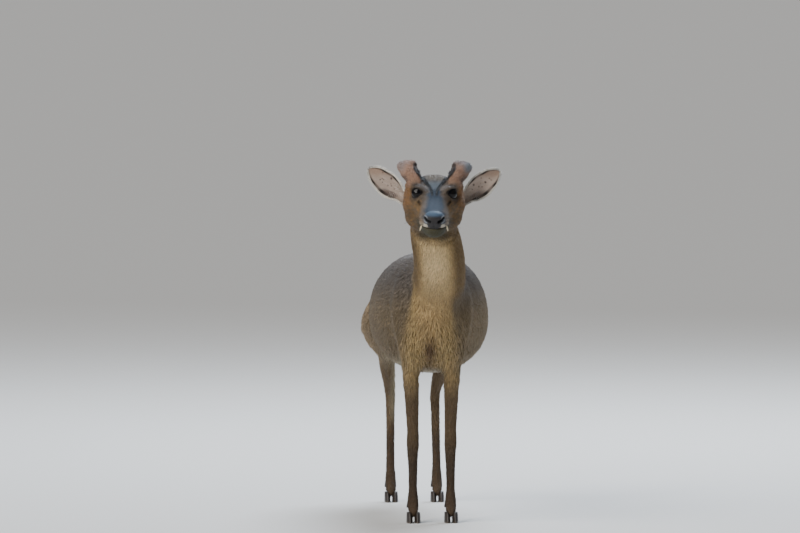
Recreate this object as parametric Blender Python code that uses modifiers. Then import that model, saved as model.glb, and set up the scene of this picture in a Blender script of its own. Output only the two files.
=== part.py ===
"""A muntjac buck standing alert, as a still, life-size model. Metres, +Z up.

It faces -Y with its left side at +X, stands on four cloven feet at z = 0, and has the origin on the
floor under the middle of its box. The tables below are in millimetres, measured from a point on the
floor a little behind the forefeet, or from the tip of the nose for everything on the head.
"""

import math

import bmesh
import bpy
import numpy as np
from mathutils import Matrix, Vector

MM = 0.001
# The gap between neighbours, and the one at the root of whatever grows on the head, the rump or a foot
GAP = 0.3 * MM
ROOT_GAP = 0.5 * MM
# How far apart points may lie and still be one
WELD = 1e-7

# The head's place: the tip of the nose, and how far the head is dipped, turned and leant
NOSE_TIP = Vector((-14.0, -420.0, 509.0)) * MM
HEAD_DIP = math.radians(7.0)
HEAD_TURN = math.radians(-3.6)
HEAD_LEAN = math.radians(1.0)

# Trunk: y, half width, top, bottom, height of the widest line, squareness
TRUNK = (
    (-230, 16, 356, 316, 334, 2.0),
    (-214, 36, 390, 290, 334, 2.1),
    (-188, 52, 420, 266, 334, 2.1),
    (-150, 66, 438, 248, 334, 2.1),
    (-110, 80, 443, 242, 332, 2.1),
    (-60, 92, 440, 238, 328, 2.1),
    (-10, 98, 437, 238, 325, 2.15),
    (50, 98.5, 436, 242, 326, 2.15),
    (110, 92, 431, 252, 330, 2.0),
    (160, 83, 426, 266, 334, 1.9),
    (205, 74, 421, 292, 342, 1.8),
    (245, 68, 419, 318, 352, 1.7),
    (285, 58, 406, 312, 350, 1.8),
    (315, 44, 391, 318, 352, 1.9),
    (334, 24, 376, 330, 352, 2.0),
)
# The full paunch pushes the flank out on the left: how far, where along y, and over what length
PAUNCH = (8.0 * MM, 20 * MM, 130 * MM)
# How fine the body is while its parts are joined, and how many triangles it is brought down to
BODY_VOXEL = 3.2 * MM
BODY_TRIANGLES = 4100

# Tubes: x, y, z, half width across, half depth
NECK = (
    (5, -130, 370, 55, 66),
    (9, -175, 388, 47, 62),
    (9, -213, 412, 45, 56),
    (5, -243, 446, 43.5, 49),
    (-3, -262, 482, 41.5, 45),
    (-8, -268, 515, 38, 42),
    (-8, -262, 540, 30, 34),
)
SHOULDER = (
    (40, -132, 400, 16, 30),
    (47, -152, 362, 21, 38),
    (44, -172, 326, 22, 36),
    (39, -166, 292, 20, 34),
    (34, -152, 262, 17, 27),
)
FORELEG = (
    (36, -152, 275, 18, 28),
    (34, -150, 250, 16.5, 24),
    (33, -151, 225, 14.5, 19),
    (32, -154, 188, 12, 14.5),
    (31, -156, 150, 10.5, 12),
    (31, -158, 130, 11, 13),
    (31, -157, 112, 9.5, 11),
    (31, -158, 80, 8, 9.5),
    (31, -159, 52, 8, 9),
    (31, -160, 39, 9.5, 11.5),
    (31, -166, 26, 8.8, 10),
    (31, -173, 15, 9.5, 11),
)
HAUNCH = (
    (36, 244, 370, 20, 44),
    (50, 236, 334, 29, 60),
    (63, 224, 298, 31, 54),
    (53, 210, 264, 19, 37),
)
HAMSTRING = (
    (27, 292, 362, 20, 26),
    (38, 288, 326, 28, 33),
    (46, 280, 288, 22, 28),
    (43, 284, 248, 12, 18),
)
HINDLEG = (
    (53, 211, 280, 20, 36),
    (49, 238, 250, 17, 27),
    (43, 274, 215, 12, 18),
    (39, 299, 190, 9.5, 14),
    (38, 305, 176, 9.5, 13.5),
    (38, 301, 156, 8.5, 10.5),
    (38.5, 292, 110, 8, 9),
    (39, 283, 60, 8, 9),
    (39, 279, 42, 9.5, 11.5),
    (39, 271, 28, 8.8, 10),
    (39, 264, 15, 9.5, 11),
)
HOCK_POINT = (
    (42, 290, 226, 5, 8),
    (38.5, 312, 196, 7, 8),
    (38, 311, 178, 7, 8),
)
TAIL = (
    (0, 308, 388, 11, 11),
    (0, 336, 377, 13, 9.5),
    (0, 350, 345, 13.5, 8),
    (0, 354, 306, 11, 6.5),
    (0, 353, 276, 5, 3.5),
)

# Where the neck is parted from the trunk and from the head, and which way is up it
NECK_ROOT = Vector((0, -196, 402)) * MM
NECK_ROOT_FACING = Vector((0, -0.77, 0.64))
THROAT = Vector((-5, -249, 507)) * MM
THROAT_FACING = Vector((0, -0.62, 0.78))
# The hollow between the neck and the shoulder's point, and how far round it the skin runs smooth, in mm
SHOULDER_HOLLOW = Vector((35, -188, 368)) * MM
HOLLOW_REACH, HOLLOW_FADE = 92, 40
# In mm, the height over which the legs blend into the trunk, and the stretch below the throat left as it is
LEG_TOP, LEG_FADE = 215, 60
THROAT_KEPT, THROAT_FADE = 8, 40
# The blocks that part the legs from the trunk: corners in x and z, and where each starts and ends along y
LEG_REGIONS = {
    "foreleg": (((15, -30), (15, 243), (120, 318), (120, -30)), -290, -100),
    "hindleg": (((11, -30), (11, 268), (120, 405), (120, -30)), 150, 360),
}

# On the head the tables are measured from the tip of the nose: back along y, and up along z.
# Skull with the upper lip, and the lower jaw: the same columns as the trunk
SKULL = (
    (1, 10.5, 6.5, -8.5, -1, 2.4),
    (4, 14, 10, -13, -2, 2.6),
    (9, 16, 12.5, -16, -4, 2.6),
    (18, 19, 14.5, -18.5, -7, 2.5),
    (32, 22.5, 17.5, -19.5, -8, 2.4),
    (48, 24.5, 21, -19, -6, 2.3),
    (62, 26, 24.5, -20, -1, 2.4),
    (76, 30, 28.5, -22, 6, 2.6),
    (90, 35, 33, -24, 11, 2.7),
    (104, 40, 39.5, -27, 12, 2.6),
    (118, 43.5, 47, -30, 12, 2.5),
    (132, 46, 51, -31, 10, 2.3),
    (146, 44, 51.5, -28, 10, 2.2),
    (160, 37, 48, -20, 12, 2.1),
    (172, 25, 41, -6, 16, 2.0),
)
JAW = (
    (8, 9, -13, -25, -18, 2.2),
    (13, 13, -12, -30, -19, 2.2),
    (22, 16.3, -12, -33, -20, 2.2),
    (36, 18.8, -11, -34, -20, 2.2),
    (54, 20.5, -10, -34.5, -20, 2.2),
    (74, 23, -8, -36.5, -20, 2.2),
    (94, 30, -5, -40.5, -18, 2.2),
    (112, 37, -2, -44.5, -17, 2.2),
    (128, 41, 0, -46.5, -16, 2.2),
    (142, 40, 0, -44.5, -16, 2.2),
    (154, 33, -4, -38, -16, 2.2),
)
BROW = (
    (15, 68, 19, 4, 4),
    (20, 80, 26.5, 6, 5.5),
    (24, 92, 31, 9, 8),
    (28, 104, 33.5, 12, 11),
    (32, 114, 38.5, 13.5, 12.5),
)
CHEEKBONE = (
    (22, 58, 2, 4, 6),
    (27, 72, 6, 5, 7),
    (32, 88, 8, 6, 9),
    (38, 104, 9, 7, 11),
    (41, 122, 6, 6, 12),
)
HEAD_VOXEL = 1.5 * MM
HEAD_TRIANGLES = 3700
# Soft swellings and hollows, alike on both sides: how high, where, and how far each reaches
SWELLINGS = (
    ("jaw muscle", 2.2, (38, 122, -16), (12, 18, 16)),
    ("hollow of the cheek", -1.6, (30, 92, -8), (8, 16, 8)),
    ("full upper lip", 1.6, (21, 34, -13), (7, 16, 5)),
    ("dip in the bridge", -1.0, (0, 62, 26), (8, 16, 6)),
    ("cleft of the lip", -0.7, (0, 0, -12), (1.6, 6, 5)),
)
# Ridges and furrows: how high, from where to where, and how wide
RIDGES = (
    ("slit of the gland before the eye", -2.0, (22, 60, 13), (26.5, 76, 18), 2.6),
    ("lip of that slit", 0.9, (25, 58, 8), (30, 76, 12), 3.0),
    ("forehead gland", 1.6, (4, 84, 33), (19, 118, 47), 4.0),
    ("crease of that gland", -1.1, (4, 82, 32), (17, 116, 46), 1.6),
)

EYE_CENTRE = Vector((24.5, 91, 28)) * MM
EYE_RADIUS = 12.5 * MM
LID_THICKNESS = 2.5 * MM
EYE_FACING = Vector((0.74, -0.66, 0.10)).normalized()
EYE_OPENING = (11.4 * MM, 7.2 * MM)
EYE_TILT = math.radians(14)
# The opening is cut from inside the eye out past the lids: distance from the eye's middle, and size there
OPENING_CUT = ((4 * MM, 0.9), (EYE_RADIUS, 0.98), (24 * MM, 1.25))
# Above 1, a more pointed almond
OPENING_POINT = 1.3
# In mm, how far the skin is smoothed round an eye, and over what distance that fades
SOCKET_REACH, SOCKET_FADE = 34, 12

PEDICLE = (
    (28, 108, 33, 10, 10),
    (31, 115, 42, 12, 12),
    (35.5, 124, 49.5, 12, 12),
    (40, 134, 55.5, 12.5, 13),
)
VELVET = (
    (39, 131, 54, 12.5, 13),
    (42, 139, 57.5, 14, 14),
    (44.5, 146, 60, 12.5, 12.5),
)
# The two round tips of the velvet: place and radius
VELVET_LOBES = ((37, 139, 66, 7.4), (52, 145, 61.5, 8.4))
CORONET_AT = Vector((38.2, 130, 53)) * MM
HORN_VOXEL = 1.6 * MM
HORN_TRIANGLES = 440

EAR_BASE = Vector((46, 141.5, 8)) * MM
EAR_LENGTH = 81 * MM
EAR_ALONG = Vector((0.757, 0.34, 0.556)).normalized()
EAR_OPENING = Vector((0.30, -1.0, 0.10))
# How far the ear bows back from base to tip, how round its cup is, and how it thins to its rim
EAR_BOW = 5 * MM
EAR_CUP = 2.2
EAR_RIM_THINNING = (0.35, 4)
EAR_COLUMNS = 11
# Down the ear: share of its length, half width, depth of the cup, thickness
EAR_FORM = (
    (0.0, 8.5, 12.0, 4.0),
    (0.16, 10.5, 13.0, 3.6),
    (0.3, 16.0, 12.0, 3.2),
    (0.5, 19.2, 9.5, 2.8),
    (0.7, 16.8, 6.5, 2.4),
    (0.82, 14.2, 4.4, 2.1),
    (0.94, 7.8, 2.4, 1.8),
    (0.995, 2.4, 1.2, 1.6),
)
# The thick root behind the ear, which runs into the back of its cup
EAR_BUTT = (
    (28, 156, 2, 11, 12),
    (40, 160.5, 7, 8.5, 9),
    (48, 163, 11.5, 5, 5),
)

CANINE = (
    (17.5, 32, -10, 2.3, 2.6),
    (20.0, 33.5, -16, 2.0, 2.3),
    (21.8, 35.5, -21.5, 1.5, 1.7),
    (22.6, 38.5, -25.5, 0.7, 0.8),
)
NOSTRIL = ((7.6, -1, -3.4, 2.4, 2.2), (10.2, 3, -1.2, 3.0, 2.7), (13.4, 8, -0.8, 1.6, 2.1))
MOUTH_HEIGHT = -15.3
# Half of the mouth's line: half width, and how far back from the nose
MOUTH_LINE = ((0, 6.5), (7, 7.5), (12.5, 11.5), (15.8, 20), (18.6, 34), (20.4, 50), (21.6, 60))
# The mouth's line is cut this far in from it and out from it, this high inside, and wider outside
MOUTH_SLIT = (3.0, 7.0)
SLIT_INSIDE = 0.22
SLIT_OUTSIDE = 1.1
# The nose pad is parted off by a block in front of the nostrils: size, middle, and how far it leans back
PAD_BLOCK = Vector((80, 40, 56)) * MM
PAD_BLOCK_AT = Vector((0, -20, 13.7)) * MM
PAD_TURNS_AT = Vector((0, 9.2, 0)) * MM
PAD_LEAN = math.radians(-14)

# Feet: the middle of each foot, one claw's length, width and height, and the gap of the cleft
FORE_FOOT = Vector((31, -178, 0)) * MM
HIND_FOOT = Vector((39, 259, 0)) * MM
CLAW_SIZE = (31 * MM, 10.6 * MM, 18 * MM)
CLEFT = 1.6 * MM
CLAW_SIDES = 11
# Up a claw: share of its height, length and width against the sole's, and how far back it sits
CLAW_FORM = (
    (0.0, 1.0, 1.0, 0.0),
    (0.12, 1.0, 1.04, 0.01),
    (0.55, 0.82, 1.0, 0.09),
    (1.0, 0.6, 0.9, 0.2),
)
# How much a claw narrows to its toe, how flat it is on the cleft's side, and where its wall ends on top
CLAW_TOE = 0.28
CLAW_INNER = 0.86
CLAW_WALL = 0.95
# A dewclaw's root and tip from the middle of the foot, its radius, and how much it tapers
DEWCLAW_ROOT = (5.5, 20.5, 36)
DEWCLAW_TIP = (8.0, 26.5, 25)
DEWCLAW_RADIUS = 3.6
DEWCLAW_TAPER = 0.6
# Where the legs are parted at their joints: a place on each cut and which way is up the leg
JOINTS = {
    "foreleg": (("forearm", (0, -157, 131), (0, 0.05, 1)),),
    "hindleg": (
        ("thigh", (0, 238, 262), (0, -0.55, 0.84)),
        ("gaskin", (0, 305, 179), (0, -0.35, 0.94)),
    ),
}
# The rings that round off the end of a tube or a body, as angles, and the reach of a body's end
END_RINGS = (0.5, 1.0)
BODY_END = 0.45
# Edges sharper than this look sharp
SHARP = math.radians(40)

MATERIALS = {
    "coat": ((0.30, 0.155, 0.075), 0.85),
    "velvet": ((0.33, 0.19, 0.13), 0.9),
    "nose": ((0.035, 0.035, 0.045), 0.3),
    "eye": ((0.012, 0.009, 0.008), 0.06),
    "tooth": ((0.80, 0.74, 0.58), 0.35),
    "hoof": ((0.045, 0.038, 0.034), 0.45),
}


def clear_scene():
    for old in list(bpy.data.objects):
        bpy.data.objects.remove(old, do_unlink=True)


def unit(rows):
    return rows / np.linalg.norm(rows, axis=-1, keepdims=True)


def add_object(name, mesh):
    obj = bpy.data.objects.new(name, mesh)
    WORK.objects.link(obj)
    return obj


def mesh_object(name, points, faces):
    """An object from points and faces, with its faces pointing out."""
    mesh = bpy.data.meshes.new(name)
    mesh.from_pydata([tuple(p) for p in points], [], faces)
    shape = bmesh.new()
    shape.from_mesh(mesh)
    bmesh.ops.recalc_face_normals(shape, faces=shape.faces)
    shape.to_mesh(mesh)
    shape.free()
    return add_object(name, mesh)


def copy_of(obj, name):
    return add_object(name, obj.data.copy())


def remove(*objects):
    for obj in objects:
        bpy.data.objects.remove(obj, do_unlink=True)


def points_of(obj):
    points = np.empty(len(obj.data.vertices) * 3)
    obj.data.vertices.foreach_get("co", points)
    return points.reshape(-1, 3)


def set_points(obj, points):
    obj.data.vertices.foreach_set("co", points.astype(np.float32).ravel())
    obj.data.update()


def normals_of(obj):
    normals = np.empty(len(obj.data.vertices) * 3, np.float32)
    obj.data.vertex_normals.foreach_get("vector", normals)
    return normals.reshape(-1, 3).astype(float)


def settle(obj):
    """Puts the modifiers' result in the object's own mesh."""
    bpy.context.view_layer.update()
    graph = bpy.context.evaluated_depsgraph_get()
    mesh = bpy.data.meshes.new_from_object(obj.evaluated_get(graph))
    obj.modifiers.clear()
    obj.data = mesh


def along_curve(stations, spacing):
    """Rows read from a Catmull-Rom curve through the stations, about one every spacing."""
    rows = np.array(stations, float)
    padded = np.vstack([2 * rows[0] - rows[1], rows, 2 * rows[-1] - rows[-2]])
    read = []
    for a, b, c, d in zip(padded, padded[1:], padded[2:], padded[3:]):
        steps = max(1, round(np.linalg.norm((c - b)[:3]) / spacing))
        for t in np.arange(steps) / steps:
            bend = (2 * a - 5 * b + 4 * c - d) * t**2 + (3 * b - a - 3 * c + d) * t**3
            read.append(b + 0.5 * ((c - a) * t + bend))
    return np.array([*read, rows[-1]])


def loft(name, rings, first, last):
    """A closed skin over rings of points in mm, closed by a fan at each end."""
    count, sides = len(rings), len(rings[0])
    points = np.vstack([*rings, [first], [last]]) * MM
    faces = []
    for k in range(count - 1):
        for i in range(sides):
            j = (i + 1) % sides
            faces.append((k * sides + i, k * sides + j, (k + 1) * sides + j, (k + 1) * sides + i))
    top = (count - 1) * sides
    for i in range(sides):
        j = (i + 1) % sides
        faces.append((count * sides, j, i))
        faces.append((count * sides + 1, top + i, top + j))
    return mesh_object(name, points, faces)


def tube(name, stations, across=(1, 0, 0), sides=20, spacing=7.0):
    """A round-ended tube through stations of x, y, z, half width across and half depth."""
    rows = along_curve(stations, spacing)
    forward = unit(np.gradient(rows[:, :3], axis=0))
    across = np.array(across, float)
    side = unit(across - (forward @ across)[:, None] * forward)
    deep = np.cross(forward, side)
    turn = np.linspace(0, 2 * math.pi, sides, endpoint=False)

    def ring(k, share=1.0, push=0.0):
        middle = rows[k, :3] + forward[k] * push
        wide = np.outer(np.cos(turn), side[k]) * rows[k, 3]
        tall = np.outer(np.sin(turn), deep[k]) * rows[k, 4]
        return middle + share * (wide + tall)

    rings = [ring(k) for k in range(len(rows))]
    ends = []
    for k, sign in ((0, -1.0), (len(rows) - 1, 1.0)):
        reach = min(rows[k, 3], rows[k, 4])
        domes = [ring(k, math.cos(a), sign * reach * math.sin(a)) for a in END_RINGS]
        rings = [domes[1], domes[0], *rings] if sign < 0 else [*rings, *domes]
        ends.append(rows[k, :3] + forward[k] * sign * reach)
    return loft(name, rings, *ends)


def egg_body(name, stations, sides=36, spacing=7.0):
    """A closed body along y with egg-shaped sections, from rows like the trunk's."""
    rows = along_curve(stations, spacing)
    turn = np.linspace(0, 2 * math.pi, sides, endpoint=False)
    cos, sin = np.cos(turn), np.sin(turn)

    def ring(row, share=1.0, push=0.0):
        y, half, top, bottom, level, power = row
        x = half * np.sign(cos) * np.abs(cos) ** (2 / power)
        reach = np.where(sin >= 0, top - level, level - bottom)
        z = reach * np.sign(sin) * np.abs(sin) ** (2 / power)
        return np.stack([share * x, np.full(sides, y + push), level + share * z], axis=1)

    rings = [ring(row) for row in rows]
    ends = []
    for row, sign in ((rows[0], -1.0), (rows[-1], 1.0)):
        reach = BODY_END * row[1]
        domes = [ring(row, math.cos(a), sign * reach * math.sin(a)) for a in END_RINGS]
        rings = [domes[1], domes[0], *rings] if sign < 0 else [*rings, *domes]
        ends.append((0, row[0] + sign * reach, row[4]))
    return loft(name, rings, *ends)


def ball(name, centre, radius, segments=16, rings=8):
    shape = bmesh.new()
    bmesh.ops.create_uvsphere(shape, u_segments=segments, v_segments=rings, radius=radius)
    bmesh.ops.translate(shape, verts=shape.verts, vec=centre)
    mesh = bpy.data.meshes.new(name)
    shape.to_mesh(mesh)
    shape.free()
    return add_object(name, mesh)


def box(name, size, matrix):
    shape = bmesh.new()
    bmesh.ops.create_cube(shape, size=1.0)
    bmesh.ops.scale(shape, vec=size, verts=shape.verts)
    mesh = bpy.data.meshes.new(name)
    shape.to_mesh(mesh)
    shape.free()
    mesh.transform(matrix)
    return add_object(name, mesh)


def mirrored(obj, name):
    """A copy on the other side of the x = 0 plane, with its faces turned back out."""
    twin = copy_of(obj, name)
    set_points(twin, points_of(twin) * (-1, 1, 1))
    twin.data.flip_normals()
    return twin


def fused(name, pieces, voxel):
    """One closed mesh over overlapping closed pieces, which it uses up."""
    shape = bmesh.new()
    for piece in pieces:
        shape.from_mesh(piece.data)
    mesh = bpy.data.meshes.new(name)
    shape.to_mesh(mesh)
    shape.free()
    remove(*pieces)
    obj = add_object(name, mesh)
    remesh = obj.modifiers.new("Fuse", "REMESH")
    remesh.mode = "VOXEL"
    remesh.voxel_size = voxel
    settle(obj)
    return obj


def relaxed(obj, rounds, pull_back=0.53, weight=None):
    """Smooths the mesh. A pull_back just over 0.5 keeps its thickness, and 0 lets it shrink."""
    points = points_of(obj)
    ends = np.empty(len(obj.data.edges) * 2, np.int64)
    obj.data.edges.foreach_get("vertices", ends)
    a, b = ends.reshape(-1, 2).T
    count = len(points)
    degree = np.bincount(a, minlength=count) + np.bincount(b, minlength=count)
    share = np.ones(count) if weight is None else weight(points)
    for _ in range(rounds):
        for step in (0.5, -pull_back):
            near = np.stack(
                [
                    np.bincount(a, points[b, k], count) + np.bincount(b, points[a, k], count)
                    for k in range(3)
                ],
                axis=1,
            )
            points = points + (step * share)[:, None] * (near / degree[:, None] - points)
    set_points(obj, points)


def thinned(obj, triangles):
    """Brings the mesh down to about this many triangles, where it is flattest first."""
    now = sum(len(face.vertices) - 2 for face in obj.data.polygons)
    thin = obj.modifiers.new("Thin", "DECIMATE")
    thin.ratio = min(1.0, triangles / now)
    settle(obj)


def largest_body(obj):
    """Keeps the largest closed surface of the mesh."""
    shape = bmesh.new()
    shape.from_mesh(obj.data)
    unseen, best = set(shape.verts), []
    while unseen:
        edge, found = [unseen.pop()], []
        while edge:
            vert = edge.pop()
            found.append(vert)
            for link in vert.link_edges:
                other = link.other_vert(vert)
                if other in unseen:
                    unseen.remove(other)
                    edge.append(other)
        best = max(best, found, key=len)
    kept = set(best)
    bmesh.ops.delete(shape, geom=[v for v in shape.verts if v not in kept], context="VERTS")
    shape.to_mesh(obj.data)
    shape.free()


def combined(obj, operation, *others, solver="EXACT"):
    """Applies one Boolean for each of the other objects, which it uses up."""
    for other in others:
        change = obj.modifiers.new("Join", "BOOLEAN")
        change.operation = operation
        change.solver = solver
        change.object = other
        settle(obj)
        remove(other)
    largest_body(obj)


def swollen(obj, gap=GAP):
    """A copy that is larger by the gap all over, to cut a neighbour with."""
    copy = copy_of(obj, obj.name + "_swollen")
    set_points(copy, points_of(copy) + normals_of(copy) * gap)
    return copy


def side_of(obj, name, at, facing):
    """The part of a mesh on the side of a plane that facing points to, half a gap away from it."""
    facing = Vector(facing).normalized()
    part = copy_of(obj, name)
    shape = bmesh.new()
    shape.from_mesh(part.data)
    bmesh.ops.bisect_plane(
        shape,
        geom=[*shape.verts, *shape.edges, *shape.faces],
        dist=WELD,
        plane_co=Vector(at) + facing * GAP / 2,
        plane_no=facing,
        clear_inner=True,
    )
    open_edges = [edge for edge in shape.edges if edge.is_boundary]
    filled = bmesh.ops.holes_fill(shape, edges=open_edges, sides=0)
    bmesh.ops.triangulate(shape, faces=filled["faces"])
    bmesh.ops.recalc_face_normals(shape, faces=shape.faces)
    shape.to_mesh(part.data)
    shape.free()
    largest_body(part)
    return part


def split(obj, at, facing, front_name, back_name):
    """Parts a mesh with a thin cut and uses it up."""
    front = side_of(obj, front_name, at, facing)
    back = side_of(obj, back_name, at, -Vector(facing))
    remove(obj)
    return front, back


def head_matrix():
    turn = Matrix.Rotation(HEAD_TURN, 4, "Z")
    dip = Matrix.Rotation(HEAD_DIP, 4, "X")
    lean = Matrix.Rotation(HEAD_LEAN, 4, "Y")
    return Matrix.Translation(NOSE_TIP) @ turn @ dip @ lean


def flipped(stations):
    """The same stations on the animal's right."""
    return [(-row[0], *row[1:]) for row in stations]


def both(name, stations, **how):
    return [tube(name + "_l", stations, **how), tube(name + "_r", flipped(stations), **how)]


def distance_to_pair(points, place):
    """How far each point is, in mm, from a place on the left or from the same place on the right."""
    folded = np.abs(points) * (1, 0, 0) + points * (0, 1, 1)
    return np.linalg.norm(folded - np.array(place), axis=1) / MM


# The body: trunk, neck and the four legs are modelled as one and parted with thin cuts


def blend_where_parts_join(points):
    """How freely each point smooths: fully on the trunk, not at all on the legs or next to the head."""
    above_legs = (points[:, 2] / MM - LEG_TOP) / LEG_FADE
    below_throat = (np.array(THROAT) - points) @ np.array(THROAT_FACING) / MM
    return np.clip(above_legs, 0, 1) * np.clip((below_throat - THROAT_KEPT) / THROAT_FADE, 0, 1)


def round_the_neck_root(points):
    """1 where the neck, the brisket and the shoulders run together, and fading out round them."""
    return np.clip((HOLLOW_REACH - distance_to_pair(points, SHOULDER_HOLLOW)) / HOLLOW_FADE, 0, 1)


def body_mesh():
    pieces = [egg_body("trunk", TRUNK), tube("neck", NECK, sides=32)]
    trunk = points_of(pieces[0])
    swell, at, length = PAUNCH
    trunk[:, 0] += swell * np.exp(-(((trunk[:, 1] - at) / length) ** 2))
    set_points(pieces[0], trunk)
    for name, stations in (
        ("shoulder", SHOULDER),
        ("foreleg", FORELEG),
        ("haunch", HAUNCH),
        ("hamstring", HAMSTRING),
        ("hindleg", HINDLEG),
        ("hock_point", HOCK_POINT),
    ):
        pieces += both(name, stations)
    body = fused("body", pieces, BODY_VOXEL)
    relaxed(body, 24, pull_back=0.0, weight=blend_where_parts_join)
    relaxed(body, 50, pull_back=0.0, weight=round_the_neck_root)
    relaxed(body, 6)
    thinned(body, BODY_TRIANGLES)
    return body


def leg_region(section, front, back):
    """A block round one left leg: its section in x and z, in mm, drawn out from front to back."""
    rings = np.array([[(x, y, z) for x, z in section] for y in (front, back)], float)
    return loft("region", rings, rings[0].mean(axis=0), rings[1].mean(axis=0))


def legs_from(body):
    """Cuts the four legs out of the body. Returns {name: leg}, and leaves the trunk and neck."""
    legs = {}
    for kind, (section, front, back) in LEG_REGIONS.items():
        for side, sign in (("left", 1), ("right", -1)):
            name = f"{kind}_{side}"
            cutter = leg_region(section, front, back)
            if sign < 0:
                set_points(cutter, points_of(cutter) * (-1, 1, 1))
                cutter.data.flip_normals()
            leg = copy_of(body, name)
            legs[name] = leg
            wider = swollen(cutter)
            combined(leg, "INTERSECT", cutter)
            combined(body, "DIFFERENCE", wider)
    return legs


# The head, in its own frame: nose at the origin, back along +y


def sculpted(head):
    """Raises and sinks the skin along the swellings and the ridges."""
    points = points_of(head)
    folded = (np.abs(points) * (1, 0, 0) + points * (0, 1, 1)) / MM
    lift = np.zeros(len(points))
    for _, height, place, size in SWELLINGS:
        lift += height * np.exp(-np.sum(((folded - place) / size) ** 2, axis=1))
    for _, height, start, end, width in RIDGES:
        run = np.subtract(end, start)
        along = np.clip((folded - start) @ run / (run @ run), 0, 1)
        away = np.linalg.norm(folded - (start + along[:, None] * run), axis=1)
        lift += height * np.exp(-((away / width) ** 2))
    set_points(head, points + normals_of(head) * (lift * MM)[:, None])


def near_the_eyes(points):
    """1 in the sockets and fading out over the brow and cheek."""
    return np.clip((SOCKET_REACH - distance_to_pair(points, EYE_CENTRE)) / SOCKET_FADE, 0, 1)


def eye_window(name):
    """The almond opening between the lids, as a cutter that runs out from the eye's middle."""
    out = EYE_FACING
    back = Vector((0, 0, 1)).cross(out).normalized()
    back = Matrix.Rotation(-EYE_TILT, 3, out) @ back
    up = out.cross(back)
    half_length, half_height = EYE_OPENING
    turn = np.linspace(0, 2 * math.pi, 20, endpoint=False)
    length = half_length * np.cos(turn)
    height = half_height * np.sign(np.sin(turn)) * np.abs(np.sin(turn)) ** OPENING_POINT
    flat = np.outer(length, back) + np.outer(height, up)
    middles = [np.array(EYE_CENTRE + out * reach) for reach, _ in OPENING_CUT]
    rings = [(middle + size * flat) / MM for middle, (_, size) in zip(middles, OPENING_CUT)]
    return loft(name, rings, middles[0] / MM, middles[-1] / MM)


def mouth_slit():
    """A thin U-shaped ribbon that cuts the line of the mouth."""
    inside, outside = MOUTH_SLIT
    half = along_curve([(x, y, 0) for x, y in MOUTH_LINE], 4.0)[:, :2]
    line = np.vstack([half[:0:-1] * (-1, 1), half])
    direction = unit(np.gradient(line, axis=0))
    outward = np.stack([direction[:, 1], -direction[:, 0]], axis=1)
    rings = []
    for place, away in zip(line, outward):
        near, far = place - away * inside, place + away * outside
        rings.append(
            [
                (*near, MOUTH_HEIGHT),
                (*far, MOUTH_HEIGHT - SLIT_OUTSIDE),
                (*far, MOUTH_HEIGHT + SLIT_OUTSIDE),
                (*near, MOUTH_HEIGHT + SLIT_INSIDE),
            ]
        )
    rings = np.array(rings)
    return loft("mouth_slit", rings, rings[0].mean(axis=0), rings[-1].mean(axis=0))


def ear_shell(name):
    """The leaf of the left ear: a cup with a front and a back face alike, closed round its rim."""
    rows = along_curve([(share * 100, half, cup, thick) for share, half, cup, thick in EAR_FORM], 8.0)
    columns = np.linspace(-1, 1, EAR_COLUMNS)
    along = np.array(EAR_ALONG)
    opening = np.array(EAR_OPENING)
    opening = unit(opening - (opening @ along) * along)
    across = np.cross(along, opening)
    sheet = np.empty((len(rows), len(columns), 3))
    for i, (share, half, cup, _) in enumerate(rows):
        t = share / 100
        middle = np.array(EAR_BASE) + along * EAR_LENGTH * t - opening * EAR_BOW * t * t
        for j, q in enumerate(columns):
            sink = cup * (1 - abs(q) ** EAR_CUP)
            sheet[i, j] = middle + (across * half * q - opening * sink) * MM
    down = np.gradient(sheet, axis=0)
    over = np.gradient(sheet, axis=1)
    normal = unit(np.cross(down, over))
    if normal[len(rows) // 2, EAR_COLUMNS // 2] @ opening < 0:
        normal = -normal
    thinning, power = EAR_RIM_THINNING
    thick = rows[:, 3][:, None, None] * MM * (1 - thinning * np.abs(columns) ** power)[None, :, None]
    points = np.concatenate([sheet.reshape(-1, 3), (sheet - normal * thick).reshape(-1, 3)])
    high, wide = len(rows), len(columns)
    back = high * wide
    faces = []
    for i in range(high - 1):
        for j in range(wide - 1):
            a = i * wide + j
            b, c, d = a + 1, a + wide + 1, a + wide
            faces += [(a, b, c), (a, c, d), (back + a, back + c, back + b), (back + a, back + d, back + c)]
    rim = [(i * wide, (i + 1) * wide) for i in range(high - 1)]
    rim += [((i + 1) * wide + wide - 1, i * wide + wide - 1) for i in range(high - 1)]
    rim += [((high - 1) * wide + j, (high - 1) * wide + j + 1) for j in range(wide - 1)]
    rim += [(j + 1, j) for j in range(wide - 1)]
    for a, b in rim:
        faces += [(a, b, back + b), (a, back + b, back + a)]
    return mesh_object(name, points, faces)


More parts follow.
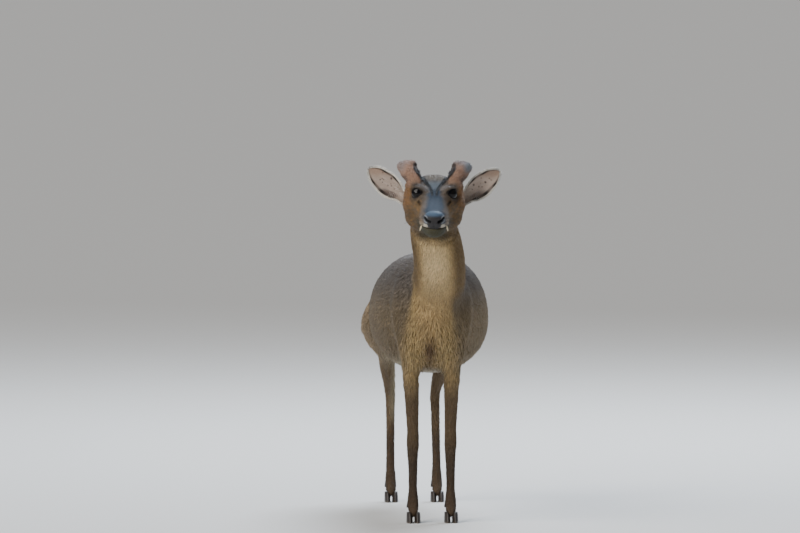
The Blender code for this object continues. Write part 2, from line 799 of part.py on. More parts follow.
def head_parts(neck_core):
    """Models the head and all that grows on it, in the head's frame. Returns {name: object}."""
    pieces = [egg_body("skull", SKULL, spacing=3.0), egg_body("jaw", JAW, spacing=3.0), neck_core]
    for name, stations in (("brow", BROW), ("cheekbone", CHEEKBONE)):
        pieces += both(name, stations, across=(1, 0, 0), spacing=3.0)
    lids = ball("lids", EYE_CENTRE, EYE_RADIUS + LID_THICKNESS)
    pieces += [lids, mirrored(lids, "lids_right")]
    head = fused("head", pieces, HEAD_VOXEL)
    relaxed(head, 6, pull_back=0.0)
    relaxed(head, 14, pull_back=0.0, weight=near_the_eyes)
    relaxed(head, 4)
    sculpted(head)
    thinned(head, HEAD_TRIANGLES)
    uncut = swollen(head, ROOT_GAP)

    parts = {}
    for side in ("left", "right"):
        eye = ball(f"eye_{side}", EYE_CENTRE, EYE_RADIUS)
        window = eye_window("window")
        nostril = tube("nostril", NOSTRIL, across=(1, 0, 0), sides=10, spacing=2.5)
        if side == "right":
            for left in (eye, window, nostril):
                left.data.flip_normals()
                set_points(left, points_of(left) * (-1, 1, 1))
        combined(head, "DIFFERENCE", swollen(eye), window, nostril)
        parts[f"eye_{side}"] = eye
    combined(head, "DIFFERENCE", mouth_slit())

    lean = Matrix.Rotation(PAD_LEAN, 4, "X")
    pad_place = Matrix.Translation(PAD_TURNS_AT) @ lean @ Matrix.Translation(PAD_BLOCK_AT)
    pad_region = box("pad_region", PAD_BLOCK, pad_place)
    nose = copy_of(head, "nose")
    wider = swollen(pad_region)
    combined(nose, "INTERSECT", pad_region)
    combined(head, "DIFFERENCE", wider)
    parts["nose"] = nose

    horn = fused(
        "horn",
        [
            tube("pedicle", PEDICLE, sides=20, spacing=4.0),
            tube("velvet", VELVET, sides=20, spacing=4.0),
            *(ball("lobe", Vector(lobe[:3]) * MM, lobe[3] * MM) for lobe in VELVET_LOBES),
        ],
        HORN_VOXEL,
    )
    relaxed(horn, 3, pull_back=0.0)
    relaxed(horn, 4)
    thinned(horn, HORN_TRIANGLES)
    axis = Vector(np.subtract(PEDICLE[-1][:3], PEDICLE[1][:3]))
    antler, pedicle = split(horn, CORONET_AT, axis, "antler", "pedicle")
    ear = ear_shell("ear")
    combined(ear, "UNION", tube("butt", EAR_BUTT, across=(0, 1, 0), sides=12, spacing=12.0))
    for left in (pedicle, antler, ear, tube("canine", CANINE, sides=7, spacing=5.0)):
        kind = left.name
        for side, made in (("right", mirrored(left, "right")), ("left", left)):
            made.name = f"{kind}_{side}"
            combined(made, "DIFFERENCE", copy_of(uncut, "root_cutter"))
            if kind == "ear":
                combined(made, "DIFFERENCE", swollen(parts[f"pedicle_{side}"], ROOT_GAP))
            parts[made.name] = made
    remove(uncut)
    parts["head"] = head
    return parts


# Feet: two claws and two dewclaws on each


def claw(name, foot, outer):
    """One half of a cloven hoof, flat at z = 0. outer is 1 on the foot's left and -1 on its right."""
    length, width, height = CLAW_SIZE
    turn = np.linspace(0, 2 * math.pi, CLAW_SIDES, endpoint=False)
    middle = foot + Vector((outer * (width + CLEFT) / 2, 0, 0))
    rings = []
    for share, long, wide, shift in CLAW_FORM:
        forward = -np.cos(turn) * length / 2 * long + shift * length
        across = np.sin(turn) * width / 2 * wide * (1 - CLAW_TOE * np.cos(turn))
        across = np.where(across * outer < 0, across * CLAW_INNER, across)
        up = np.full(len(turn), share * height * CLAW_WALL)
        rings.append(np.stack([middle.x + across, middle.y + forward, up], axis=1) / MM)
    low = np.array((middle.x, middle.y, 0)) / MM
    high = np.array((middle.x, middle.y + CLAW_FORM[-1][3] * length, height)) / MM
    return loft(name, np.array(rings), low, high)


def dewclaw(name, foot, outer):
    """A small blunt nail behind the fetlock, pointing down."""
    stations = []
    for (x, y, z), radius in (
        (DEWCLAW_ROOT, DEWCLAW_RADIUS),
        (DEWCLAW_TIP, DEWCLAW_RADIUS * DEWCLAW_TAPER),
    ):
        stations.append((*(foot / MM + Vector((outer * x, y, z))), radius, radius))
    return tube(name, stations, sides=7, spacing=12.0)


def feet_of(leg_name, shank, foot):
    """The hooves and dewclaws of one foot, with the leg's end shaped to sit on them."""
    parts = {}
    for place, outer in (("outer", 1), ("inner", -1)):
        sign = outer if leg_name.endswith("left") else -outer
        hoof = claw(f"{leg_name}_hoof_{place}", foot, sign)
        combined(shank, "DIFFERENCE", swollen(hoof))
        parts[hoof.name] = hoof
    for place, outer in (("outer", 1), ("inner", -1)):
        sign = outer if leg_name.endswith("left") else -outer
        nail = dewclaw(f"{leg_name}_dewclaw_{place}", foot, sign)
        combined(nail, "DIFFERENCE", swollen(shank, ROOT_GAP))
        parts[nail.name] = nail
    return parts


def leg_parts(legs):
    """Parts each leg at its joints and gives it its foot."""
    parts = {}
    for leg_name, leg in legs.items():
        kind, side = leg_name.split("_")
        shank = leg
        for name, at, facing in JOINTS[kind]:
            above, shank = split(shank, Vector(at) * MM, facing, f"{leg_name}_{name}", "rest")
            parts[above.name] = above
        shank.name = f"{leg_name}_shank"
        foot = FORE_FOOT.copy() if kind == "foreleg" else HIND_FOOT.copy()
        foot.x *= 1 if side == "left" else -1
        parts |= feet_of(leg_name, shank, foot)
        parts[shank.name] = shank
    return parts


# Assembly


def finish_of(name):
    """The slot of MATERIALS that a node takes."""
    for word, slot in (
        ("hoof", "hoof"),
        ("claw", "hoof"),
        ("eye", "eye"),
        ("canine", "tooth"),
        ("nose", "nose"),
        ("antler", "velvet"),
    ):
        if word in name:
            return slot
    return "coat"


def material(slot):
    colour, roughness = MATERIALS[slot]
    made = bpy.data.materials.new(slot)
    made.use_nodes = True
    shader = made.node_tree.nodes["Principled BSDF"]
    shader.inputs["Base Color"].default_value = (*colour, 1)
    shader.inputs["Roughness"].default_value = roughness
    shader.inputs["Metallic"].default_value = 0.0
    return made


clear_scene()
WORK = bpy.data.collections.new("muntjac")
bpy.context.scene.collection.children.link(WORK)

HEAD = head_matrix()
body = body_mesh()
legs = legs_from(body)
long_neck, torso = split(body, NECK_ROOT, NECK_ROOT_FACING, "long_neck", "torso")

neck_core = tube("neck_core", NECK, sides=40, spacing=4.0)
neck_core.data.transform(HEAD.inverted())
nodes = head_parts(neck_core)
for part in nodes.values():
    part.data.transform(HEAD)
whole_head = nodes["head"]
nodes["head"] = side_of(whole_head, "head", THROAT, THROAT_FACING)
nodes["neck"] = side_of(long_neck, "neck", THROAT, -THROAT_FACING)
remove(whole_head, long_neck)

tail = tube("tail", TAIL, sides=14, spacing=18.0)
combined(tail, "DIFFERENCE", swollen(torso, ROOT_GAP))
nodes |= {"torso": torso, "tail": tail}
nodes |= leg_parts(legs)

bpy.context.view_layer.update()
corners = np.vstack([points_of(part) for part in nodes.values()])
low, high = corners.min(axis=0), corners.max(axis=0)
to_origin = Matrix.Translation((-(low[0] + high[0]) / 2, -(low[1] + high[1]) / 2, -low[2]))
materials = {slot: material(slot) for slot in MATERIALS}
for name, part in nodes.items():
    part.data.transform(to_origin)
    part.name = name
    part.data.name = name
    part.data.materials.clear()
    part.data.materials.append(materials[finish_of(name)])
    part.data.shade_smooth()
    part.data.set_sharp_from_angle(angle=SHARP)
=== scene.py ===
"""A life-size muntjac buck in velvet, with its hide, coat, ears, antlers, eyes, teeth and hooves."""
import math

import bmesh
import bpy
import numpy as np
from mathutils import Matrix, Vector


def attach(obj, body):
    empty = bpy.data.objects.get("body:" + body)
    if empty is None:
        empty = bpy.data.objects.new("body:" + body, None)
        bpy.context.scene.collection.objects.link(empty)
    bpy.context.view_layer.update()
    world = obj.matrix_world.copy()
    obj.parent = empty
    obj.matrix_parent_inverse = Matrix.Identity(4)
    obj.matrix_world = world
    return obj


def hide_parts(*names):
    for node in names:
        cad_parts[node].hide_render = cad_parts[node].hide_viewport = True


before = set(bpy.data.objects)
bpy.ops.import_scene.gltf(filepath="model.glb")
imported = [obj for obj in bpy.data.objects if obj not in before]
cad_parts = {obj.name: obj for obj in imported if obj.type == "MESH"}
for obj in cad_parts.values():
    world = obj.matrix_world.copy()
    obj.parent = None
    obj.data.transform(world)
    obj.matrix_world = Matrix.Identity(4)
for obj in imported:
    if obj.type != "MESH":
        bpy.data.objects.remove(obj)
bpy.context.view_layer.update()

# The head's own axes
# Everything on the head is placed from the tip of the nose, in millimetres, with x to the animal's left, y
# back and z up. The head dips, turns and leans a little, and its place is read from the two eyes.

MM = 0.001
EYE_SPOT = np.array((24.5, 91.0, 28.0))
HEAD_DIP = math.radians(7.0)
HEAD_TURN = math.radians(-3.6)
HEAD_LEAN = math.radians(1.0)


def points_of(mesh):
    points = np.empty(len(mesh.vertices) * 3)
    mesh.vertices.foreach_get("co", points)
    return points.reshape(-1, 3)


def middle_of(node):
    return points_of(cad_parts[node].data).mean(axis=0)


HEAD_AXES = np.array(
    Matrix.Rotation(HEAD_TURN, 3, "Z")
    @ Matrix.Rotation(HEAD_DIP, 3, "X")
    @ Matrix.Rotation(HEAD_LEAN, 3, "Y")
)
BETWEEN_EYES = (middle_of("eye_left") + middle_of("eye_right")) / 2
NOSE_TIP = BETWEEN_EYES - HEAD_AXES @ (EYE_SPOT * (0, 1, 1) * MM)


def on_head(points):
    """Places in the row frame, in metres, as millimetres along the head's own axes."""
    return (points - NOSE_TIP) @ HEAD_AXES / MM


def off_head(points):
    """The way back: from the head's own axes to the row frame."""
    return NOSE_TIP + np.asarray(points, float) * MM @ HEAD_AXES.T


# The camera and the studio
# The camera stands where the photograph's did, 14.4 m off with a long lens, so that a pixel at the eyes is
# 1.62 mm and the eyes fall on the photograph's pixel. There is a pale floor, a broad light from above, a
# smaller one from the left in front, and a cool one behind.

PICTURE = (800, 533)
EYES_PIXEL = (434.3, 193.4)
PIXEL_SIZE = 1.62 * MM
CAMERA_AROUND = math.radians(-3.8)
CAMERA_ABOVE = math.radians(3.0)
CAMERA_AWAY = 14.4
SENSOR = 36.0

around, above = CAMERA_AROUND, CAMERA_ABOVE
camera_back = Vector(
    (math.sin(around) * math.cos(above), -math.cos(around) * math.cos(above), math.sin(above))
)
camera_right = Vector((math.cos(around), math.sin(around), 0))
camera_up = camera_back.cross(camera_right)
lens = bpy.data.cameras.new("camera")
lens.sensor_width = SENSOR
lens.lens = SENSOR * CAMERA_AWAY / (PICTURE[0] * PIXEL_SIZE)
lens.clip_end = 200.0
camera = bpy.data.objects.new("camera", lens)
bpy.context.scene.collection.objects.link(camera)
camera.matrix_world = Matrix.Translation(
    Vector(BETWEEN_EYES)
    - camera_right * (EYES_PIXEL[0] - PICTURE[0] / 2) * PIXEL_SIZE
    - camera_up * (PICTURE[1] / 2 - EYES_PIXEL[1]) * PIXEL_SIZE
    + camera_back * CAMERA_AWAY
) @ Matrix((camera_right, camera_up, camera_back)).transposed().to_4x4()
bpy.context.scene.camera = camera

FLOOR_REACH = 70.0
FLOOR_COLOUR = (0.70, 0.69, 0.67)
AMBIENT = (0.84, 0.90, 1.0)
AMBIENT_STRENGTH = 0.23
# Each light: kind, place, width in metres or degrees, strength and colour, all turned towards the lit point
LIGHTS = {
    "ceiling": ("SUN", (-3.4, -1.9, 3.6), 42, 2.35, (1.0, 0.97, 0.92)),
    "window": ("AREA", (-2.1, -3.2, 1.8), 0.8, 50, (1.0, 0.97, 0.93)),
    "rim": ("AREA", (0.8, 2.1, 3.1), 2.0, 220, (0.80, 0.89, 1.0)),
}
LIT_POINT = Vector((0, -0.1, 0.35))

world = bpy.data.worlds.new("studio")
world.use_nodes = True
world.node_tree.nodes["Background"].inputs["Color"].default_value = (*AMBIENT, 1)
world.node_tree.nodes["Background"].inputs["Strength"].default_value = AMBIENT_STRENGTH
bpy.context.scene.world = world
for name, (kind, place, width, strength, colour) in LIGHTS.items():
    lamp = bpy.data.lights.new(name, kind)
    if kind == "SUN":
        lamp.angle = math.radians(width)
    else:
        lamp.shape = "DISK"
        lamp.size = width
    lamp.energy = strength
    lamp.color = colour
    light = bpy.data.objects.new(name, lamp)
    bpy.context.scene.collection.objects.link(light)
    light.location = place
    light.rotation_euler = (LIT_POINT - Vector(place)).to_track_quat("-Z", "Y").to_euler()


def plain_material(name, colour, roughness):
    """A material with one shader, whose sockets hold what is the same all over the surface."""
    made = bpy.data.materials.new(name)
    made.use_nodes = True
    shader = made.node_tree.nodes["Principled BSDF"]
    shader.inputs["Base Color"].default_value = (*colour, 1)
    shader.inputs["Roughness"].default_value = roughness
    return made, made.node_tree, shader


def mesh_from(shape, name):
    """The mesh of a bmesh, which it frees."""
    mesh = bpy.data.meshes.new(name)
    shape.to_mesh(mesh)
    shape.free()
    return mesh


def piece_of(name, mesh):
    """An object at the origin, with its faces smooth."""
    obj = bpy.data.objects.new(name, mesh)
    bpy.context.scene.collection.objects.link(obj)
    mesh.shade_smooth()
    return obj


floor_shape = bmesh.new()
bmesh.ops.create_circle(floor_shape, cap_ends=True, segments=96, radius=FLOOR_REACH)
floor = piece_of("floor", mesh_from(floor_shape, "floor"))
floor.data.materials.append(plain_material("floor", FLOOR_COLOUR, 0.85)[0])

# The hide
# One closed skin over the whole animal, from the lips to the tip of the tail, under the tips of the coat by
# the hair's depth. It is drawn over the solids as one piece, made finer on the face, and smoothed.

SIDES = {"left": 1, "right": -1}
BARE_PARTS = ("eye", "ear", "antler", "canine")
FLESH = [
    name
    for name in sorted(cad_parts)
    if name.split("_")[0] not in BARE_PARTS and "hoof" not in name and "dewclaw" not in name
]
WELD = 1e-6
SEAM_SWELL = 0.5 * MM
SOCKET_SWELL = 1.6 * MM
HIDE_VOXEL = 3.9 * MM
# Where the head ends on the neck, and the neck on the trunk, and which way is up the neck
THROAT = np.array((-3.4, -217.5, 507.0)) * MM
THROAT_FACING = np.array((0, -0.62, 0.78))
NECK_ROOT = np.array((1.6, -164.5, 402.0)) * MM
NECK_ROOT_FACING = np.array((0, -0.77, 0.64))


def unit(rows):
    return rows / np.maximum(np.linalg.norm(rows, axis=-1, keepdims=True), 1e-12)


def set_points(mesh, points):
    mesh.vertices.foreach_set("co", points.astype(np.float32).ravel())
    mesh.update()


def normals_of(mesh):
    normals = np.empty(len(mesh.vertices) * 3, np.float32)
    mesh.vertex_normals.foreach_get("vector", normals)
    return normals.reshape(-1, 3).astype(float)


def pushed_out(mesh, millimetres):
    """Moves each point of a mesh along its normal."""
    set_points(mesh, points_of(mesh) + normals_of(mesh) * (millimetres * MM)[:, None])


def welded(node, swell=0.0):
    """A closed copy of a node's mesh, larger by swell all over."""
    shape = bmesh.new()
    shape.from_mesh(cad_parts[node].data)
    bmesh.ops.remove_doubles(shape, verts=shape.verts, dist=WELD)
    shape.normal_update()
    for vert in shape.verts:
        vert.co += vert.normal * swell
    return mesh_from(shape, node + "_copy")


def with_modifiers(obj):
    """The mesh of an object after its modifiers, which takes the object's place."""
    bpy.context.view_layer.update()
    mesh = bpy.data.meshes.new_from_object(obj.evaluated_get(bpy.context.evaluated_depsgraph_get()))
    bpy.data.objects.remove(obj, do_unlink=True)
    return mesh


def fused(name, meshes, voxel):
    """One closed mesh over overlapping closed ones, which it uses up."""
    shape = bmesh.new()
    for mesh in meshes:
        shape.from_mesh(mesh)
        bpy.data.meshes.remove(mesh)
    obj = piece_of(name, mesh_from(shape, name))
    remesh = obj.modifiers.new("Fuse", "REMESH")
    remesh.mode = "VOXEL"
    remesh.voxel_size = voxel
    return with_modifiers(obj)


def relaxed(mesh, rounds, pull_back=0.53, weight=1.0):
    """Smooths a mesh. A pull_back a little over 0.5 keeps its thickness; 0 lets it shrink into a blend."""
    points = points_of(mesh)
    ends = np.empty(len(mesh.edges) * 2, np.int64)
    mesh.edges.foreach_get("vertices", ends)
    a, b = ends.reshape(-1, 2).T
    count = len(points)
    degree = np.bincount(a, minlength=count) + np.bincount(b, minlength=count)
    share = np.broadcast_to(weight, count)
    for _ in range(rounds):
        for step in (0.5, -pull_back) if pull_back else (0.5,):
            near = [
                np.bincount(a, points[b, k], count) + np.bincount(b, points[a, k], count) for k in range(3)
            ]
            points = points + (step * share)[:, None] * (np.stack(near, axis=1) / degree[:, None] - points)
    set_points(mesh, points)


def ramp(value, start, end):
    """0 before start, 1 past end, and a smooth way between."""
    share = np.clip((value - start) / (end - start), 0, 1)
    return share * share * (3 - 2 * share)


# The neck's middle line by height: y, then x, all in mm
NECK_HEIGHTS = (370, 388, 412, 446, 482, 515, 560)
NECK_LINE = ((-98, -143, -181, -211, -230, -236, -230), (6, 10, 10, 6, -1, -6, -6))


def before_the_neck(points):
    """How far in front of the neck's middle line, and how far to its left, in mm."""
    z = points[:, 2] / MM
    line = [np.interp(z, NECK_HEIGHTS, row) for row in NECK_LINE]
    return line[0] - points[:, 1] / MM, points[:, 0] / MM - line[1]


def up_the_head(points):
    """How far past the throat towards the head, in mm."""
    return (points - THROAT) @ THROAT_FACING / MM


def up_the_neck(points):
    """How far past the neck's root towards the head, in mm."""
    return (points - NECK_ROOT) @ NECK_ROOT_FACING / MM


def finer(mesh, wanted):
    """Splits the faces in four where wanted says so of their middles."""
    shape = bmesh.new()
    shape.from_mesh(mesh)
    shape.faces.ensure_lookup_table()
    middles = np.array([face.calc_center_median() for face in shape.faces])
    chosen = np.flatnonzero(wanted(middles))
    edges = {edge for k in chosen for edge in shape.faces[k].edges}
    bmesh.ops.subdivide_edges(shape, edges=list(edges), cuts=1, use_grid_fill=True)
    shape.to_mesh(mesh)
    shape.free()


def is_head(points):
    return (up_the_head(points) > -4) & (points[:, 1] < -180 * MM)


def is_face(points):
    return is_head(points) & (on_head(points)[:, 1] < 132)


flesh = [welded(name, SEAM_SWELL) for name in FLESH]
sockets = [welded(f"eye_{side}", SOCKET_SWELL) for side in SIDES]
hide = fused("hide", flesh + sockets, HIDE_VOXEL)
relaxed(hide, 4)
finer(hide, is_head)
relaxed(hide, 6, weight=ramp(up_the_head(points_of(hide)), -10, 10))
finer(hide, is_face)
relaxed(hide, 26, weight=0.15 + 0.85 * ramp(up_the_head(points_of(hide)), -10, 10))


def coat_depth(points):
    """How far the hide lies under the tips of the coat, in mm."""
    head = on_head(points)
    z = points[:, 2] / MM
    body = np.interp(z, (8, 40, 120, 200, 290), (0.6, 1.4, 2.0, 3.0, 5.2))
    face = np.interp(head[:, 1], (0, 15, 60, 120, 175), (0.1, 0.6, 1.0, 1.8, 3.4))
    horn = ramp(head[:, 2] - 0.62 * (head[:, 1] - 108), 40, 48) * ramp(np.abs(head[:, 0]), 18, 24)
    horn = horn * ramp(head[:, 1], 96, 106)
    face = face * (1 - horn) - 1.3 * horn
    share = ramp(up_the_head(points), -20, 25)
    return body * (1 - share) + face * share


pushed_out(hide, -coat_depth(points_of(hide)))

# The face
# Lids with a bare dark rim round each eye, the slit of the gland below it, the paired glands that run up the
# forehead to the antlers, the pad of the nose with its comma nostrils, the lips and the full cheeks, all
# worked into the hide.

EYE_RADIUS = 12.5
EYE_FACING = Vector((0.80, -0.59, 0.10)).normalized()
EYE_OPENING = (11.3, 7.6)
EYE_CORNERS = 1.8
EYE_TILT = math.radians(14)
LID_RIM = 0.3
EYE_POCKET = 9.0
MOUTH_HEIGHT = -15.3
MOUTH_END = 60.0
NOSTRIL = ((6.8, -3.6), (9.4, -2.2), (12.4, -1.6), (14.8, 1.4))
FOREHEAD_GLAND = (
    (3.6, -2.5), (4.2, 3.5), (7.6, 10.0), (13.6, 17.0), (20.0, 25.5), (26.5, 34.0), (30.0, 40.0),
    (31.0, 46.0),
)
TEAR_GLAND = ((22.5, 62.0, 14.0), (25.8, 74.0, 17.4))
CHEEK_SWELL = 4.8

eye_back = Matrix.Rotation(-EYE_TILT, 3, EYE_FACING) @ Vector((0, 0, 1)).cross(EYE_FACING).normalized()
EYE_AXES = np.array((EYE_FACING, eye_back, EYE_FACING.cross(eye_back))).T


def face_on(head):
    """Half width and height as seen from the front, in mm from between the eyes: see FOREHEAD_GLAND."""
    dip = HEAD_DIP + CAMERA_ABOVE
    height = (head[:, 2] - EYE_SPOT[2]) * math.cos(dip) + (head[:, 1] - EYE_SPOT[1]) * math.sin(dip)
    return np.abs(head[:, 0]), height


def away_from(line, *axes):
    """Distance from places to a broken line, in as many axes as are given."""
    places = np.stack(axes, axis=1)
    nearest = np.full(len(places), np.inf)
    for start, end in zip(np.array(line, float), np.array(line, float)[1:]):
        along = end - start
        share = np.clip((places - start) @ along / (along @ along), 0, 1)
        nearest = np.minimum(nearest, np.linalg.norm(places - start - share[:, None] * along, axis=1))
    return nearest


def to_left(head):
    """Places on the head, mirrored to its left."""
    return np.column_stack([np.abs(head[:, 0]), head[:, 1:]])


def eye_opening(head):
    """Places round the nearer eye along its own axes, and 0 to 1 inside the opening of the lids."""
    own = (to_left(head) - EYE_SPOT) @ EYE_AXES
    return own, (own[:, 1] / EYE_OPENING[0]) ** 2 + (np.abs(own[:, 2]) / EYE_OPENING[1]) ** EYE_CORNERS


def nose_pad(head):
    """1 on the bare pad of the nose."""
    x, y, z = np.abs(head[:, 0]), head[:, 1], head[:, 2]
    half = np.interp(z, (-15.5, -12, -8, -4, 4, 8, 11, 14), (7.5, 8.5, 12, 17, 17, 14, 10, 6))
    back = np.interp(z, (-15, -8, -2, 4, 8, 13), (8, 10, 13.5, 14.5, 13, 11))
    return ramp(half - x, -0.9, 0.9) * ramp(back - y, -0.9, 0.9) * ramp(z, -16.2, -15.0)


def mouth_gap(head):
    """Height over the line of the mouth, in mm, which rises a little to its corners."""
    return head[:, 2] - MOUTH_HEIGHT - 0.05 * np.maximum(head[:, 1] - 25, 0)


def groove(away, width):
    return np.exp(-((away / width) ** 2))


head_share = ramp(up_the_head(points_of(hide)), -4, 10)
points = points_of(hide)
head = on_head(points)
x, y, z = np.abs(head[:, 0]), head[:, 1], head[:, 2]
across, height = face_on(head)
in_front = ramp(y, 16, 10)
gap = mouth_gap(head)
mouth = ramp(y, MOUTH_END + 3, MOUTH_END - 6) * ramp(x, 34, 28)
nostril = away_from(NOSTRIL, x, z)
gland = away_from(TEAR_GLAND, x, y, z)
forehead_gland = away_from(FOREHEAD_GLAND, across, height)
lift = -1.9 * groove(gap, 1.0) * mouth
lift += 0.9 * groove(gap - 3.4, 2.2) * mouth * ramp(y, 4, 16)
lift += 0.6 * groove(gap + 2.8, 2.0) * mouth
lift -= 4.6 * np.clip(1.25 - nostril / 2.2, 0, 1) * in_front
lift += 0.8 * groove(nostril - 3.4, 1.5) * in_front * ramp(z, -6, -1)
lift -= 0.9 * groove(x, 0.9) * ramp(z, -2, -6) * ramp(z, -17, -15) * in_front
lift += 0.5 * nose_pad(head)
lift -= 0.7 * groove(nose_pad(head) - 0.5, 0.35) * ramp(z, -12, -4)
lift -= 2.6 * groove(gland, 1.5)
lift += 0.8 * groove(gland - 3.6, 1.6)
lift -= 0.9 * groove(forehead_gland, 1.1) * ramp(y, 150, 140)
lift += 0.7 * groove(forehead_gland - 2.6, 1.6) * ramp(y, 140, 125)
cheek = ramp(y, 84, 112) * ramp(y, 188, 160) * ramp(x, 24, 36)
lift += CHEEK_SWELL * cheek * ramp(z, -44, -14) * ramp(z, 48, 32)
pushed_out(hide, lift * head_share)

points = points_of(hide)
head = on_head(points)
own, reach = eye_opening(head)
radius = np.linalg.norm(own, axis=1)
near = (radius < 22) & (own[:, 0] > 2) & (reach < 6)
on_rim = near & (np.abs(reach - 1) < 0.13)
own[on_rim, 1:] /= (reach[on_rim] ** (1 / (1 + EYE_CORNERS / 2)))[:, None]
lid = EYE_RADIUS + LID_RIM
wanted = lid + (radius - lid) * ramp(reach, 1.0, 2.3) - 0.55 * groove(reach - 2.6, 0.5)
wanted = np.where((reach < 0.87) & ~on_rim, EYE_POCKET, wanted)
flat = np.sqrt(np.maximum(wanted**2 - own[:, 1] ** 2 - own[:, 2] ** 2, 1.0))
own[near, 0] = flat[near]
turned = own @ EYE_AXES.T + EYE_SPOT
turned[:, 0] *= np.where(head[:, 0] < 0, -1, 1)
points[near] = off_head(turned[near])
set_points(hide, points)

# The markings
# Hide and hair take their colours from the same places: grey-brown back, rufous neck sides and legs, buff
# throat, slate bridge of the nose, black lines up the forehead, pale lips, a white tail below, and painted
# light: shade on the chin, jaw and breast, a brighter lit side of the throat, and highlights on the nose.

BACK = (0.118, 0.100, 0.086)
FLANK = (0.195, 0.145, 0.086)
HAUNCH = (0.400, 0.285, 0.170)
BELLY = (0.400, 0.340, 0.230)
THROAT_BUFF = (0.430, 0.295, 0.135)
THROAT_PALE = (0.800, 0.610, 0.340)
NECK_SIDE = (0.175, 0.113, 0.050)
NAPE = (0.110, 0.072, 0.040)
CHEST = (0.425, 0.300, 0.135)
# Reddish hair, with painted shade for the groove between the breast muscles
BREAST_RED_AND_SHADE = (0.070, 0.030, 0.012)
LEG = (0.150, 0.100, 0.054)
SHANK = (0.072, 0.048, 0.031)
TAIL_TOP = (0.185, 0.088, 0.038)
WHITE_HAIR = (0.760, 0.720, 0.640)
CHEEK = (0.165, 0.104, 0.046)
TEMPLE = (0.250, 0.132, 0.056)
BROW = (0.105, 0.085, 0.072)
CROWN = (0.145, 0.118, 0.088)
SLATE = (0.020, 0.036, 0.061)
PALE_SLATE = (0.122, 0.158, 0.192)
GREY_BROWN = (0.120, 0.098, 0.082)
SOOT = (0.006, 0.006, 0.007)
UNDER_EYE = (0.085, 0.066, 0.048)
MUZZLE = (0.265, 0.210, 0.150)
LIP = (0.490, 0.440, 0.350)
# Partly the chin's own colour, mostly painted shade under the chin and the jaw
SHADED_CHIN = (0.056, 0.052, 0.032)
PEDICLE = (0.310, 0.185, 0.125)
LID_SKIN = (0.006, 0.005, 0.005)
# Painted highlight on the nostrils' wings and along the upper edge of the nose pad
NOSE_HIGHLIGHT = (0.250, 0.270, 0.300)
# Painted reflection of the sky on the wet upper half of the nose pad
NOSE_SKY_REFLECTION = (0.060, 0.100, 0.158)
NOSE_SKIN = (0.033, 0.031, 0.032)
# What shows where the painted colours can't be read
PLAIN_COAT = (0.3, 0.2, 0.1)


def laid(colours, *layers):
    """The colours with each layer's colour laid over them in turn, all of it where its share is 1."""
    for colour, share in layers:
        colours = colours + share[:, None] * (np.array(colour) - colours)
    return colours


def all_over(points, colour):
    return np.tile(colour, (len(points), 1))


def body_colours(points):
    x, y, z = (points / MM).T
    x = x + 4
    off_middle = np.abs(x)
    neck = up_the_neck(points)
    ahead, aside = before_the_neck(points)
    rear = ramp(y, 175, 305) * ramp(off_middle, 40, 80) * ramp(z, 400, 320)
    under = ramp(z, 285, 252) * ramp(y, -140, -100) * ramp(off_middle, 62, 34)
    chest_half = np.interp(z, (240, 300, 350, 385), (62, 58, 40, 30))
    front = ramp(y, -105, -145) * ramp(off_middle, chest_half, 26) * ramp(ahead, -35, -10)
    # Painted shade: the groove between the breast muscles, over reddish hair
    breast_groove_shade = groove(np.hypot(x / 11, (z - 292) / 40), 1.0) * ramp(y, -105, -135)
    leg = ramp(z, 262, 215)
    inner = ramp(off_middle, 40, 25) * ramp(z, 120, 160) * ramp(z, 300, 250) * ramp(y, 130, 200)
    seat = ramp(y, 318, 345) * ramp(z, 345, 322) * ramp(z, 200, 230) * ramp(off_middle, 40, 22)
    colours = laid(
        all_over(points, BACK),
        (FLANK, ramp(z, 405, 330)),
        (HAUNCH, 0.85 * rear),
        (BELLY, under),
        (CHEST, front),
        (BREAST_RED_AND_SHADE, 0.95 * breast_groove_shade),
        (LEG, leg),
        (CHEST, ramp(z, 190, 260) * ramp(y, -118, -140) * leg),
        (SHANK, 0.85 * ramp(z, 150, 90)),
        (BELLY, 0.8 * inner),
        (WHITE_HAIR, 0.8 * seat),
    )
    # The neck: rufous sides, a dark nape and a buff front that runs down into the chest
    necked = laid(all_over(points, NECK_SIDE), (NAPE, ramp(ahead, -8, -34)))
    colours = colours + ramp(neck, -16, 22)[:, None] * (necked - colours)
    throat = ramp(neck, -75, -20) * ramp(ahead, 4, 24) * ramp(y, -120, -150)
    # Painted light: the buff reaches further round the animal's right side, where the light falls, than round
    # its left
    throat = throat * ramp(aside, -41, -28) * ramp(aside, 31, 14)
    pale = groove((z - 430) / 42, 1.0) * ramp(np.abs(aside + 8), 31, 10)
    # The tail: rufous above, white below and at its edges
    tail = ramp(y, 346, 358) * ramp(z, 262, 272) * ramp(z, 398, 378) * ramp(np.abs(x - 6), 24, 13)
    below = ramp(y + 0.55 * (z - 300), 372, 362) * ramp(z, 385, 372)
    edge = ramp(np.abs(x - 5.6), 7, 11) * ramp(z, 350, 325)
    return laid(
        colours,
        (THROAT_BUFF, throat),
        (THROAT_PALE, 0.8 * throat * pale),
        (TAIL_TOP, tail),
        (WHITE_HAIR, tail * np.maximum(below, 0.9 * edge)),
    )


